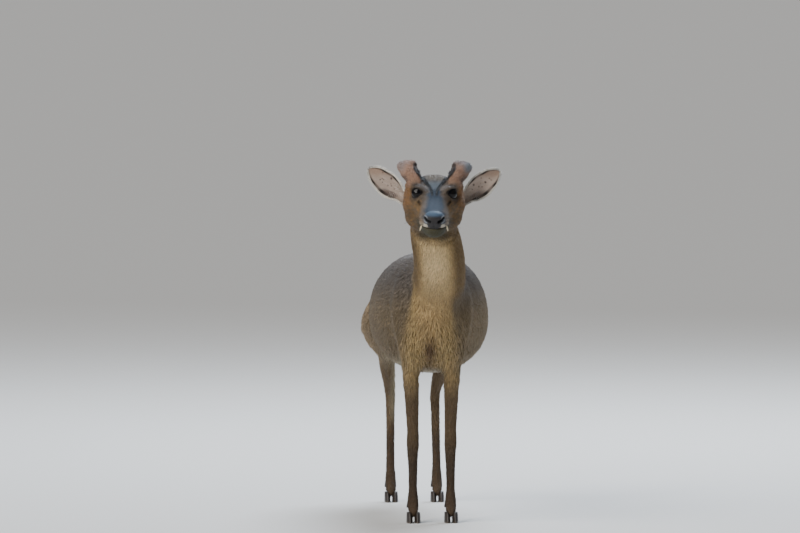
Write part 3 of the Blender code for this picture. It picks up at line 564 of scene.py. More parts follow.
def head_colours(points):
    head = on_head(points)
    x, y, z = np.abs(head[:, 0]), head[:, 1], head[:, 2]
    across, height = face_on(head)
    gap = mouth_gap(head)
    wide = np.interp(height, (-40, -12, 0, 14), (22, 20, 26, 30))
    inner_face = ramp(across, wide + 5, wide - 3) * ramp(height, -50, -34) * ramp(height, 26, 14)
    inner_face = inner_face * ramp(y, 140, 125) * ramp(gap, 0, 4)
    blotch = np.sin(x / 1.7 + 2.0 * np.sin(z / 4.3)) * np.sin(z / 2.1 + 1.7 * np.sin(y / 5.9))
    on_cheek = ramp(across, 14, 20) * ramp(height, -2, -8) * ramp(height, -60, -50) * ramp(y, 150, 130)
    # The slate bridge of the nose, narrow between the eyes, and its paler end between the forehead's glands
    band = np.interp(height, (-46, -30, -15, 0, 8), (17.0, 14.5, 12.5, 9.5, 7.0))
    band = band + 1.6 * np.sin(height / 3.1 + 2 * np.sin(height / 5.3)) * np.sign(head[:, 0])
    bridge = ramp(across, band + 5.5, band - 3.5) * ramp(height, 16, 4) * ramp(y, 132, 120) * ramp(gap, 0, 4)
    lines = np.array(FOREHEAD_GLAND).T
    line = np.interp(height, lines[1], lines[0])
    inside = ramp(across, line + 1, line - 1) * ramp(height, 2, 12) * ramp(height, 25, 15) * ramp(y, 140, 125)
    # The pedicles under the antlers, and the black lines up their inner sides
    horn = ramp(z - 0.62 * (y - 108), 36, 43) * ramp(across, 20, 25) * ramp(y, 158, 150) * ramp(y, 96, 106)
    wide = np.interp(height, (0, 12, 22, 40), (1.5, 2.0, 3.0, 4.0))
    soot = ramp(away_from(FOREHEAD_GLAND, across, height), wide + 1.4, wide - 0.5) * ramp(y, 158, 148)
    # Lips, and painted shade on the chin and the underside of the jaw
    lip = ramp(gap, -0.4, 0.6) * ramp(gap, 9.0, 5.0) * ramp(y, 36, 26) * ramp(nose_pad(head), 0.8, 0.2)
    lip = lip * ramp(across, 9.5, 12.5) * (0.25 + 0.75 * ramp(across, 19, 16))
    chin = ramp(gap, 0.2, -0.8) * ramp(y, 108, 70)
    chin = chin * ramp(across + 0.5 * np.maximum(-58 - height, 0), 40, 26)
    mouth_line = ramp(np.abs(gap), 1.3, 0.6) * ramp(y, 44, 30) * ramp(x, 34, 30)
    # The lids, and the nose with its nostrils, a painted sky reflection on its upper half, and painted
    # highlights on its wings and along its upper edge
    own, reach = eye_opening(head)
    by_eye = (own[:, 0] > 2) & (np.linalg.norm(own, axis=1) < 24)
    pad = nose_pad(head)
    nostril = away_from(NOSTRIL, x, z)
    wing_highlight = groove(nostril - 3.6, 1.1) * ramp(x, 10, 13) * ramp(y, 16, 12)
    return laid(
        all_over(points, CHEEK),
        (TEMPLE, ramp(across, 33, 42) * ramp(height, -34, -8)),
        (CROWN, ramp(height, 12, 22) * ramp(across, 40, 26)),
        (NECK_SIDE, ramp(y, 130, 165) * ramp(z, 36, 20)),
        (NAPE, ramp(y, 150, 178) * ramp(z, 12, 34) * ramp(across, 32, 20)),
        (MUZZLE, ramp(y, 54, 30) * ramp(across, 11, 16)),
        (UNDER_EYE, 0.55 * on_cheek * ramp(blotch, 0.2, 0.7)),
        (TEMPLE, 0.5 * on_cheek * ramp(blotch, -0.3, -0.8)),
        (GREY_BROWN, 0.9 * inner_face),
        (BROW, groove(np.hypot((across - 30) / 12, (height - 14) / 6), 1.0)),
        (UNDER_EYE, 0.8 * groove(np.hypot((across - 28) / 12, (height + 9) / 5), 1.0)),
        (SLATE, bridge),
        (PALE_SLATE, 0.8 * inside),
        (PEDICLE, horn),
        (SOOT, 0.97 * soot),
        (LIP, 0.9 * lip),
        # painted shade on the chin and under the jaw
        (SHADED_CHIN, chin),
        (THROAT_BUFF, ramp(height, -68, -77) * ramp(y, 50, 90)),
        (SOOT, 0.9 * mouth_line),
        (SOOT, ramp(away_from(TEAR_GLAND, x, y, z), 2.6, 1.5)),
        (UNDER_EYE, 0.5 * by_eye * ramp(reach, 2.6, 1.6)),
        (LID_SKIN, by_eye * ramp(reach, 1.42, 1.18)),
        (NOSE_SKIN, pad),
        # painted sky reflection on the pad's upper half
        (NOSE_SKY_REFLECTION, pad * ramp(z, 3, 9)),
        # painted highlights on the wings of the nostrils and along the pad's upper edge
        (NOSE_HIGHLIGHT, 0.8 * wing_highlight * pad),
        (NOSE_HIGHLIGHT, 0.6 * groove(pad - 0.5, 0.3) * ramp(z, 5, 9) * ramp(y, 24, 18)),
        (SOOT, 0.95 * ramp(nostril, 2.9, 1.5) * ramp(y, 16, 12)),
    )


def coat_colours(points):
    share = ramp(up_the_head(points), -9, 9) * ramp(points[:, 1] / MM, -170, -185)
    colours = body_colours(points) * (1 - share)[:, None] + head_colours(points) * share[:, None]
    # Painted shadow: the chin's shade runs on over the throat close behind it
    head = on_head(points)
    across, height = face_on(head)
    shadow_behind_chin = groove((height + 67) / 12, 1.0) * ramp(across, 32, 18) * ramp(mouth_gap(head), 0.2, -0.8)
    return laid(colours, (SHADED_CHIN, 0.75 * shadow_behind_chin * ramp(up_the_head(points), -28, -8)))


def bare_skin(points):
    """1 on the pad of the nose and in the slits of the glands, and a little on the rims of the lids."""
    head = on_head(points)
    own, reach = eye_opening(head)
    rim = 0.05 * (own[:, 0] > 2) * (np.linalg.norm(own, axis=1) < 24) * ramp(reach, 1.3, 1.1)
    slit = ramp(away_from(TEAR_GLAND, np.abs(head[:, 0]), head[:, 1], head[:, 2]), 1.2, 0.5)
    return np.maximum.reduce([nose_pad(head), rim, slit]) * ramp(up_the_head(points), 0, 5)


def paint(mesh, name, values):
    """Stores a colour, or one number, for each point of the mesh."""
    kind = "FLOAT_COLOR" if values.ndim > 1 else "FLOAT"
    layer = mesh.attributes.new(name, kind, "POINT")
    if values.ndim > 1:
        opaque = np.column_stack([values, np.ones(len(values))])
        layer.data.foreach_set("color", opaque.astype(np.float32).ravel())
    else:
        layer.data.foreach_set("value", values.astype(np.float32))


def fill(tree, node, inputs):
    """Links each of a node's inputs to a socket, or sets it to a value."""
    for name, value in inputs.items():
        if isinstance(value, bpy.types.NodeSocket):
            tree.links.new(value, node.inputs[name])
        else:
            node.inputs[name].default_value = value


def node_in(tree, kind, inputs=None, **settings):
    """A new node with its settings and inputs."""
    node = tree.nodes.new(kind)
    for name, value in settings.items():
        setattr(node, name, value)
    fill(tree, node, inputs or {})
    return node


def group_of(name, kind, inputs, outputs):
    """A node group with its named sockets, and what its inputs give."""
    group = bpy.data.node_groups.new(name, kind)
    for label, socket_kind, default in inputs:
        socket = group.interface.new_socket(label, in_out="INPUT", socket_type=socket_kind)
        if default is not None:
            socket.default_value = default
    for label, socket_kind in outputs:
        group.interface.new_socket(label, in_out="OUTPUT", socket_type=socket_kind)
    return group, group.nodes.new("NodeGroupInput").outputs


def hair_streaks():
    """A group that mottles a colour and gives the height of fine hairs, for every haired surface."""
    group, given = group_of(
        "hair_streaks",
        "ShaderNodeTree",
        (
            ("Colour", "NodeSocketColor", (0.5, 0.5, 0.5, 1)),
            ("Hair Scale", "NodeSocketFloat", 900.0),
            ("Mottle", "NodeSocketFloat", 0.25),
        ),
        (("Colour", "NodeSocketColor"), ("Height", "NodeSocketFloat")),
    )
    place = node_in(group, "ShaderNodeTexCoord").outputs["Object"]
    longer = node_in(group, "ShaderNodeMapping", {"Vector": place, "Scale": (1.0, 0.30, 0.30)})
    hairs = {"Vector": longer.outputs["Vector"], "Scale": given["Hair Scale"], "Detail": 3.0}
    fine = node_in(group, "ShaderNodeTexNoise", hairs).outputs["Fac"]
    patches = {"Vector": place, "Scale": 38.0, "Detail": 4.0}
    broad = node_in(group, "ShaderNodeTexNoise", patches).outputs["Fac"]
    both = node_in(group, "ShaderNodeMath", {0: fine, 1: broad}, operation="ADD").outputs[0]
    centred = node_in(group, "ShaderNodeMath", {0: both, 1: 1.0}, operation="SUBTRACT").outputs[0]
    mottling = {0: centred, 1: given["Mottle"], 2: 1.0}
    strength = node_in(group, "ShaderNodeMath", mottling, operation="MULTIPLY_ADD").outputs[0]
    shade = node_in(group, "ShaderNodeVectorMath", {0: given["Colour"], "Scale": strength}, operation="SCALE")
    node_in(group, "NodeGroupOutput", {"Colour": shade.outputs["Vector"], "Height": fine})
    return group


HAIR_STREAKS = hair_streaks()


def painted_material(name, colour, roughness, hair_scale, mottle):
    """A material in the painted colours, mottled, and the height of its fine hairs."""
    made, tree, shader = plain_material(name, colour, roughness)
    painted = node_in(tree, "ShaderNodeAttribute", attribute_name="markings").outputs["Color"]
    streaks = node_in(
        tree,
        "ShaderNodeGroup",
        {"Colour": painted, "Hair Scale": hair_scale, "Mottle": mottle},
        node_tree=HAIR_STREAKS,
    )
    fill(tree, shader, {"Base Color": streaks.outputs["Colour"]})
    return made, tree, shader, streaks.outputs["Height"]


def haired_material(name, hair_scale, mottle, depth, roughness=0.75, sheen=0.04):
    """A coat's material: the painted colour, mottled, with fine hairs in the bump and a soft sheen."""
    made, tree, shader, hairs = painted_material(name, PLAIN_COAT, roughness, hair_scale, mottle)
    bump = node_in(tree, "ShaderNodeBump", {"Height": hairs, "Distance": depth, "Strength": 0.6})
    looks = {
        "Normal": bump.outputs["Normal"],
        "Sheen Weight": sheen,
        "Sheen Roughness": 0.45,
        "Sheen Tint": (0.78, 0.86, 1.0, 1),
        "Specular IOR Level": 0.25,
    }
    fill(tree, shader, looks)
    return made, tree, shader, hairs, bump


def hide_material():
    """Short fur over most of it, and faintly wet, pebbled skin where it is bare."""
    made, tree, shader, hairs, bump = haired_material("hide", 1100.0, 0.30, 0.5 * MM)
    bare = node_in(tree, "ShaderNodeAttribute", attribute_name="bare").outputs["Fac"]
    place = node_in(tree, "ShaderNodeTexCoord").outputs["Object"]
    pebbles = node_in(tree, "ShaderNodeTexVoronoi", {"Vector": place, "Scale": 820.0}).outputs["Distance"]
    surface = node_in(tree, "ShaderNodeMix", {"Factor": bare, "A": hairs, "B": pebbles}, data_type="FLOAT")
    rough = node_in(tree, "ShaderNodeMapRange", {"Value": bare, "To Min": 0.75, "To Max": 0.60})
    wet = node_in(tree, "ShaderNodeMath", {0: bare, 1: 0.06}, operation="MULTIPLY")
    looks = {
        "Roughness": rough.outputs["Result"],
        "Coat Weight": wet.outputs[0],
        "Coat Roughness": 0.35,
        "Coat IOR": 1.33,
        "Specular IOR Level": 0.1,
    }
    fill(tree, bump, {"Height": surface.outputs["Result"]})
    fill(tree, shader, looks)
    return made


def dressed(name, mesh, material, slot, *solids):
    """A finished piece in one material, which stands on the body for the solids it replaces."""
    mesh.name = name
    mesh.materials.clear()
    mesh.materials.append(material)
    obj = piece_of(name, mesh)
    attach(obj, "root")
    if solids:
        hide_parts(*solids)
    return obj


hide_points = points_of(hide)
paint(hide, "markings", coat_colours(hide_points))
paint(hide, "bare", bare_skin(hide_points))
hide_piece = dressed("hide", hide, hide_material(), "coat", *FLESH)

# The coat
# Short guard hairs in fine pointed tufts, set all over the hide and lying back along the body, down the neck
# and legs and up the face. They are longest on the tail and shortest on the muzzle and the feet.

# Region: tufts, length, width and height of the tip over the root, all in mm
COAT = {
    "back": (15500, 15.0, 1.7, 4.6),
    "flank_left": (15500, 15.0, 1.7, 4.6),
    "flank_right": (15500, 15.0, 1.7, 4.6),
    "belly": (9500, 16.0, 1.9, 4.6),
    "neck": (17500, 12.0, 1.4, 4.2),
    "head": (19500, 5.2, 0.75, 1.5),
    "forelegs": (12500, 8.0, 1.0, 2.0),
    "hindlegs": (17500, 9.0, 1.1, 2.4),
    "tail": (4500, 24.0, 1.7, 4.5),
}
HAIR_SEED = 20
TUFT_PATCH = 0.003
ROOT_SINK = 0.35
# Shades of a tuft: at its root, along it, at its darkest tip, and how much paler the palest tip is
TUFT_SHADES = (0.60, 0.97, 1.02, 0.38)
# A tuft's seven points: share of its length, place across and height of the ridge in widths; then its faces
TUFT_RINGS = (
    (0.0, -0.5, 0.0), (0.0, 0.5, 0.0), (0.0, 0.0, 0.35),
    (0.52, -0.42, 0.0), (0.52, 0.42, 0.0), (0.52, 0.0, 0.32), (1.0, 0.0, 0.0),
)
TUFT_QUADS = ((0, 1, 4, 3), (1, 2, 5, 4), (2, 0, 3, 5))
TUFT_TRIANGLES = ((0, 2, 1), (3, 4, 6), (4, 5, 6), (5, 3, 6))


def region_of(points):
    """The name of the coat's region at each point."""
    x, y, z = (points / MM).T
    around = np.degrees(np.arctan2(x, z - 345))
    names = np.where(np.abs(around) < 52, "back", np.where(x > 0, "flank_left", "flank_right")).astype("<U12")
    names[np.abs(around) > 122] = "belly"
    leg = (z < 232) | ((z < 300) & (y > 150) & (np.abs(x) > 20))
    names[leg & (y < 80)] = "forelegs"
    names[leg & (y >= 80)] = "hindlegs"
    names[(y > 342) & (z > 262) & (np.abs(x - 1.6) < 17)] = "tail"
    names[(up_the_neck(points) > 0) & (y < -90)] = "neck"
    names[(up_the_head(points) > 0) & (y < -180)] = "head"
    return names


def laid_along(flow, normals):
    """A flow without the part of it that leaves the surface."""
    return flow - (flow * normals).sum(axis=1, keepdims=True) * normals


def lie_of_hair(points, normals):
    """The way the hair points, along the surface."""
    x, y, z = (points / MM).T
    fall = np.radians(14 + 46 * ramp(np.abs(normals[:, 0]), 0.2, 0.95) + 40 * ramp(y, 250, 350))
    trunk = np.stack([0 * x, np.cos(fall), -np.sin(fall)], axis=1)
    trunk[:, 2] -= 1.4 * ramp(y, -120, -165)
    trunk = unit(trunk)
    leg = ramp(z, 275, 225)[:, None] * (1 - ramp(z, 262, 270) * ramp(y, 335, 345))[:, None]
    flow = trunk * (1 - leg) + np.array((0, 0.12, -1)) * leg
    neck = (ramp(up_the_neck(points), -25, 30) * ramp(y, -80, -110))[:, None]
    flow = flow * (1 - neck) + np.array((0, 0.42, -0.9)) * neck
    skull = (ramp(up_the_head(points), -12, 14) * ramp(y, -175, -190))[:, None]
    face = HEAD_AXES @ np.array((0, 1, -0.12))
    flow = flow * (1 - skull) + face * skull
    tail = (ramp(y, 336, 350) * ramp(z, 262, 270))[:, None]
    flow = flow * (1 - tail) + np.array((0, 0.25, -1)) * tail
    return unit(laid_along(flow, normals))


def unrolled(points, region):
    """Where each root falls on the unrolled hide: along the part, and round its axis."""
    x, y, z = (points / MM).T
    if region == "head":
        head = on_head(points)
        return (head[:, 1] + 6) / 195, (np.arctan2(head[:, 0], head[:, 2] - 4) / math.pi + 1) / 2
    if region == "neck":
        ahead, aside = before_the_neck(points)
        return (up_the_neck(points) + 5) / 190, (np.arctan2(aside, ahead) / math.pi + 1) / 2
    if region == "tail":
        return (z - 255) / 150, (np.arctan2(x - 1.6, y - 366) / math.pi + 1) / 2
    if "leg" in region:
        axis_x = np.where(x > 0, 35.0, -33.0)
        axis_y = np.interp(z, (0, 60, 130, 180, 230, 300), (-140, -127, -126, -122, -118, -118))
        if region == "hindlegs":
            axis_y = np.interp(z, (0, 60, 176, 215, 260, 300), (296, 314, 336, 306, 268, 250))
        angle = (np.arctan2(x - axis_x, y - axis_y) / math.pi + 1) / 4
        return z / 305, angle + np.where(x > 0, 0.5, 0.0)
    angle = np.degrees(np.arctan2(x, z - 345))
    ends = {"back": (-53, 53), "flank_left": (50, 124), "flank_right": (-124, -50), "belly": (120, 240)}
    first, last = ends[region]
    angle = np.where((region == "belly") & (angle < 0), angle + 360, angle)
    return (y + 215) / 600, (angle - first) / (last - first)


def triangles_of(mesh):
    """The three points of each triangle of a mesh."""
    mesh.calc_loop_triangles()
    corners = np.empty(len(mesh.loop_triangles) * 3, np.int64)
    mesh.loop_triangles.foreach_get("vertices", corners)
    return corners.reshape(-1, 3)


def triangle_middles(mesh):
    return points_of(mesh)[triangles_of(mesh)].mean(axis=1)


def rooted(mesh, chosen, count, rng):
    """Places and normals of evenly spread roots on the chosen triangles of a mesh."""
    triangles = triangles_of(mesh)[chosen]
    points, normals = points_of(mesh), normals_of(mesh)
    a, b, c = (points[triangles[:, k]] for k in range(3))
    area = np.linalg.norm(np.cross(b - a, c - a), axis=1)
    reach = np.cumsum(area)
    pick = np.searchsorted(reach, (np.arange(count) + rng.random(count)) / count * reach[-1])
    pick = np.minimum(pick, len(triangles) - 1)
    u, v = rng.random((2, count))
    over = u + v > 1
    u, v = np.where(over, 1 - u, u), np.where(over, 1 - v, v)
    shares = np.stack([1 - u - v, u, v], axis=1)[:, :, None]
    corners = triangles[pick]
    return (points[corners] * shares).sum(axis=1), unit((normals[corners] * shares).sum(axis=1))


def unwrapped(mesh, spots):
    """Stores where each corner of the faces lies on the picture that the looks may be baked to."""
    mesh.uv_layers.new(name="OFBake").data.foreach_set("uv", spots.astype(np.float32).ravel())


def tufts(name, roots, normals, lie, length, width, height, tone, spots, colours=None):
    """One mesh of many pointed tufts. Length, width and height are in mm and tone is a shade, one for each.
    Their colours are the markings' where they lie, or given, one for each."""
    count, per = len(roots), len(TUFT_RINGS)
    share, across, ridge = np.array(TUFT_RINGS).T

    def spread(shares, sizes, ways):
        return shares[None, :, None] * (sizes * MM)[:, None, None] * ways[:, None, :]

    points = roots[:, None, :] - spread(np.full(per, ROOT_SINK), width, normals) + spread(share, length, lie)
    points = points + spread(1 - (1 - share) ** 1.6, height, normals)
    points = points + spread(across, width, np.cross(lie, normals)) + spread(ridge, width, normals)
    points = points.reshape(-1, 3)
    base = np.arange(count)[:, None, None] * per
    faces = [(base + np.array(rows)).reshape(count, -1) for rows in (TUFT_QUADS, TUFT_TRIANGLES)]
    corners = np.concatenate(faces, axis=1).ravel()
    sides = np.tile([4] * len(TUFT_QUADS) + [3] * len(TUFT_TRIANGLES), count)
    mesh = bpy.data.meshes.new(name)
    mesh.vertices.add(len(points))
    mesh.vertices.foreach_set("co", points.astype(np.float32).ravel())
    mesh.loops.add(len(corners))
    mesh.loops.foreach_set("vertex_index", corners.astype(np.int32))
    mesh.polygons.add(len(sides))
    mesh.polygons.foreach_set("loop_start", np.concatenate([[0], np.cumsum(sides)[:-1]]).astype(np.int32))
    mesh.update(calc_edges=True)
    at_root, along, dark_tip, pale_tip = TUFT_SHADES
    at_tip = dark_tip + pale_tip * (np.arange(count) * 0.618 % 1)[:, None, None] ** 2
    where = share[None, :, None]
    shade = np.where(where < 0.1, at_root, np.where(where < 0.9, along, at_tip)) * tone[:, None, None]
    shown = coat_colours(points).reshape(count, per, 3) if colours is None else colours[:, None, :]
    paint(mesh, "markings", np.clip((shown * shade).reshape(-1, 3), 0, 1))
    patch = np.stack([across * 0.9, share - 0.5], axis=1)[None] * TUFT_PATCH
    spots = (np.clip(spots, TUFT_PATCH, 1 - TUFT_PATCH)[:, None, :] + patch).reshape(-1, 2)
    unwrapped(mesh, spots[corners])
    dressed(name, mesh, COAT_MATERIAL, "coat")


COAT_MATERIAL = haired_material("guard_hair", 1500.0, 0.22, 0.1 * MM, roughness=0.6)[0]


def swirled(points, lie, normals, amount, rng):
    """Turns the lie of each tuft a little: neighbours alike, with a few that stray."""
    x, y, z = (points / MM).T
    waves = (x / 13 + 1.3 * np.sin(y / 31), z / 17 + 2.1 * np.sin(x / 23), y / 11 + z / 29)
    turn = np.radians(amount) * (0.35 * sum(map(np.sin, waves)) + 0.8 * rng.standard_normal(len(points)))
    return np.cos(turn)[:, None] * lie + np.sin(turn)[:, None] * np.cross(normals, lie)


middles = triangle_middles(hide)
regions = region_of(middles)
head = on_head(middles)
own, reach = eye_opening(head)
in_mouth = (np.abs(mouth_gap(head)) < 0.9) & (head[:, 1] < MOUTH_END)
on_lid = (own[:, 0] > 0) & (reach < 1.22) & (np.linalg.norm(own, axis=1) < 20)
hairless = (bare_skin(middles) > 0.35) | ((regions == "head") & (in_mouth | on_lid))

for number, (region, (count, length, width, height)) in enumerate(COAT.items()):
    rng = np.random.default_rng(HAIR_SEED + number)
    roots, normals = rooted(hide, (regions == region) & ~hairless, count, rng)
    lie = swirled(roots, lie_of_hair(roots, normals), normals, 9, rng)
    lengths = length * rng.uniform(0.75, 1.25, count)
    if region == "head":
        lengths *= np.interp(on_head(roots)[:, 1], (0, 30, 90, 150, 180), (0.42, 0.6, 0.85, 1.5, 2.2))
    if "leg" in region:
        lengths *= np.interp(roots[:, 2] / MM, (10, 60, 150, 240), (0.45, 0.65, 0.9, 1.4))
    heights = np.minimum(height, 0.85 * np.maximum(coat_depth(roots), 0.6)) * rng.uniform(0.6, 1.05, count)
    heights = np.maximum(heights, 0.12 * lengths)
    tone = 1 + (0.30 if region == "head" else 0.22) * rng.uniform(-1, 1, count)
    widths = width * rng.uniform(0.8, 1.2, count) * np.clip(lengths / length, 0.5, 1.3)
    spots = np.stack(unrolled(roots, region), axis=1)
    tufts(f"coat_{region}", roots, normals, lie, lengths, widths, heights, tone, spots)

# The ears
# Each ear is a thin cup of gristle under skin, open to the front: furred behind and nearly bare inside, with
# pale ridges, dark flecks, painted shade in the fold by the lower margin, a white rim and longer hair at its
# root. The left ear's inside is painted paler than the right's, as painted light.

EAR_BASE = np.array((46.0, 141.5, 8.0))
EAR_LENGTH = 81.0
EAR_ALONG = unit(np.array((0.757, 0.34, 0.556)))
EAR_OPENING = np.array((0.30, -1.0, 0.10))
EAR_OPENING = unit(EAR_OPENING - (EAR_OPENING @ EAR_ALONG) * EAR_ALONG)
EAR_ACROSS = np.cross(EAR_ALONG, EAR_OPENING)
EAR_BOW = 5.0
# Down the ear: share of its length, half width, depth of the cup, thickness, all in mm
EAR_FORM = np.array(
    (
        (0.0, 8.5, 12.0, 3.0), (0.16, 10.5, 13.0, 2.8), (0.3, 16.0, 12.0, 2.5), (0.5, 19.2, 9.5, 2.1),
        (0.7, 16.8, 6.5, 1.8), (0.82, 14.2, 4.4, 1.6), (0.94, 7.8, 2.4, 1.5), (0.995, 2.4, 1.2, 1.4),
    )
)
EAR_BUTT = ((28, 156, 2, 10, 11), (40, 159.5, 7, 8, 8.5), (49, 161, 12, 5, 5))
EAR_VOXEL = 0.9 * MM
# Flecks inside each ear: share of its length, place across it, radius in mm
EAR_FLECKS = {
    "left": (
        (0.42, -0.38, 1.5), (0.65, 0.08, 1.4), (0.49, 0.05, 0.9), (0.54, 0.22, 0.7), (0.76, 0.02, 0.8),
        (0.77, 0.25, 0.8), (0.62, -0.48, 0.8), (0.56, -0.1, 0.5), (0.35, -0.1, 0.6),
    ),
    "right": (
        (0.70, 0.16, 1.0), (0.68, -0.02, 0.8), (0.643, -0.05, 0.8), (0.63, 0.2, 0.8), (0.505, 0.14, 0.9),
        (0.445, -0.03, 0.8), (0.525, -0.55, 1.6), (0.735, -0.58, 0.8), (0.475, -0.14, 0.6), (0.36, 0.05, 0.7),
    ),
}
# How the skin inside each ear is painted paler or darker, as painted light, and how strong the painted shade
# of its fold is
EAR_LIGHT_AND_SHADE = {"left": (1.15, 0.45), "right": (0.92, 0.75)}
EAR_SKIN = (0.390, 0.305, 0.250)
EAR_RIDGE = (0.520, 0.440, 0.380)
EAR_TIP = (0.270, 0.175, 0.120)
# Dark flecks inside the ear, and the painted shade of its fold
EAR_FLECK_AND_SHADE = (0.070, 0.045, 0.040)
EAR_BACK = (0.165, 0.120, 0.085)
EAR_EDGE = (0.018, 0.013, 0.011)


def along_curve(stations, spacing):
    """Rows read from a Catmull-Rom curve through the stations, about one every spacing."""
    rows = np.array(stations, float)
    padded = np.vstack([2 * rows[0] - rows[1], rows, 2 * rows[-1] - rows[-2]])
    read = []
    for a, b, c, d in zip(padded, padded[1:], padded[2:], padded[3:]):
        steps = max(1, round(np.linalg.norm((c - b)[:3]) / spacing))
        for t in np.arange(steps) / steps:
            bend = (2 * a - 5 * b + 4 * c - d) * t**2 + (3 * b - a - 3 * c + d) * t**3
            read.append(b + 0.5 * ((c - a) * t + bend))
    return np.array([*read, rows[-1]])


def shell_of(rings, first, last):
    """A closed mesh over rings of places on the head, in mm, with a point to close each end."""
    count, sides = len(rings), len(rings[0])
    made = bmesh.new()
    verts = [made.verts.new(place) for place in off_head(np.vstack([*rings, [first], [last]]))]
    for k in range(0, (count - 1) * sides, sides):
        for i in range(sides):
            j = (i + 1) % sides
            made.faces.new([verts[k + n] for n in (i, j, sides + j, sides + i)])
    for i in range(sides):
        j = (i + 1) % sides
        made.faces.new((verts[-2], verts[j], verts[i]))
        made.faces.new((verts[-1], verts[(count - 1) * sides + i], verts[(count - 1) * sides + j]))
    bmesh.ops.recalc_face_normals(made, faces=made.faces)
    return mesh_from(made, "shell")


def tube(stations, across=(1, 0, 0), sides=24, spacing=2.0):
    """A round-ended tube through stations of x, y, z, half width across and half depth, in mm on the head."""
    rows = along_curve(stations, spacing)
    forward = unit(np.gradient(rows[:, :3], axis=0))
    side = unit(np.array(across, float) - (forward @ np.array(across, float))[:, None] * forward)
    deep = np.cross(forward, side)
    turn = np.linspace(0, 2 * math.pi, sides, endpoint=False)

    def ring(k, share=1.0, push=0.0):
        flat = np.outer(np.cos(turn), side[k]) * rows[k, 3] + np.outer(np.sin(turn), deep[k]) * rows[k, 4]
        return rows[k, :3] + forward[k] * push + share * flat

    last = len(rows) - 1
    reach = [min(rows[k, 3], rows[k, 4]) for k in (0, last)]
    dome = (0.4, 0.8, 1.2)
    rings = [ring(0, math.cos(a), -reach[0] * math.sin(a)) for a in dome[::-1]]
    rings += [ring(k) for k in range(len(rows))]
    rings += [ring(last, math.cos(a), reach[1] * math.sin(a)) for a in dome]
    return shell_of(rings, rows[0, :3] - forward[0] * reach[0], rows[last, :3] + forward[last] * reach[1])


def ear_width(share):
    """Half width, cup depth and thickness at a share of the ear's length."""
    fine = along_curve(EAR_FORM * (100, 1, 1, 1), 2.0) / (100, 1, 1, 1)
    return [np.interp(share, fine[:, 0], fine[:, k]) for k in (1, 2, 3)]


def ear_sheet(share, q):
    """The front of the left ear's cup, at a share of its length and from -1 to 1 across it."""
    half, cup, _ = ear_width(share)
    sink = EAR_BOW * share**2 + cup * (1 - np.abs(q) ** 2.2)
    along = np.multiply.outer(EAR_LENGTH * share, EAR_ALONG)
    over = np.multiply.outer(half * q, EAR_ACROSS)
    return EAR_BASE + along + over - np.multiply.outer(sink, EAR_OPENING)


def over_ear(head):
    """For places on the head: share of the ear's length, place across it, and how far behind its front."""
    away = to_left(head) - EAR_BASE
    share = away @ EAR_ALONG / EAR_LENGTH
    half, cup, _ = ear_width(share)
    q = away @ EAR_ACROSS / half
    sink = EAR_BOW * share**2 + cup * (1 - np.minimum(np.abs(q), 1.2) ** 2.2)
    return share, q, -(away @ EAR_OPENING) - sink


def ear_shape():
    """The left ear: the leaf and its root, fused into one skin."""
    shares = np.concatenate([np.linspace(0, 0.9, 46), np.linspace(0.91, 0.995, 12)])
    columns = np.sin(np.linspace(-math.pi / 2, math.pi / 2, 33))
    sheet = np.array([ear_sheet(np.full(len(columns), share), columns) for share in shares])
    normal = unit(np.cross(np.gradient(sheet, axis=0), np.gradient(sheet, axis=1)))
    normal *= np.sign(normal[len(shares) // 2, 16] @ EAR_OPENING)
    thick = ear_width(shares)[2][:, None, None] * (1 - 0.35 * np.abs(columns) ** 4)[None, :, None]
    behind = sheet - normal * thick
    rings = np.concatenate([sheet, behind[:, ::-1]], axis=1)
    leaf = shell_of(rings, rings[0].mean(axis=0), rings[-1].mean(axis=0))
    return fused("ear", [leaf, tube(EAR_BUTT, across=(0, 1, 0))], EAR_VOXEL)


def ear_ridges(share, q):
    """1 along the low ridges of gristle inside the cup, which wander as they run to the tip."""
    ridges = 0
    for at in (-0.58, -0.24, 0.08, 0.4):
        away = q - at - 0.1 * share - 0.05 * np.sin(9 * share + 7 * at)
        ridges = ridges + groove(away, 0.08) * (0.6 + 0.4 * np.sin(13 * share + 5 * at))
    return ridges


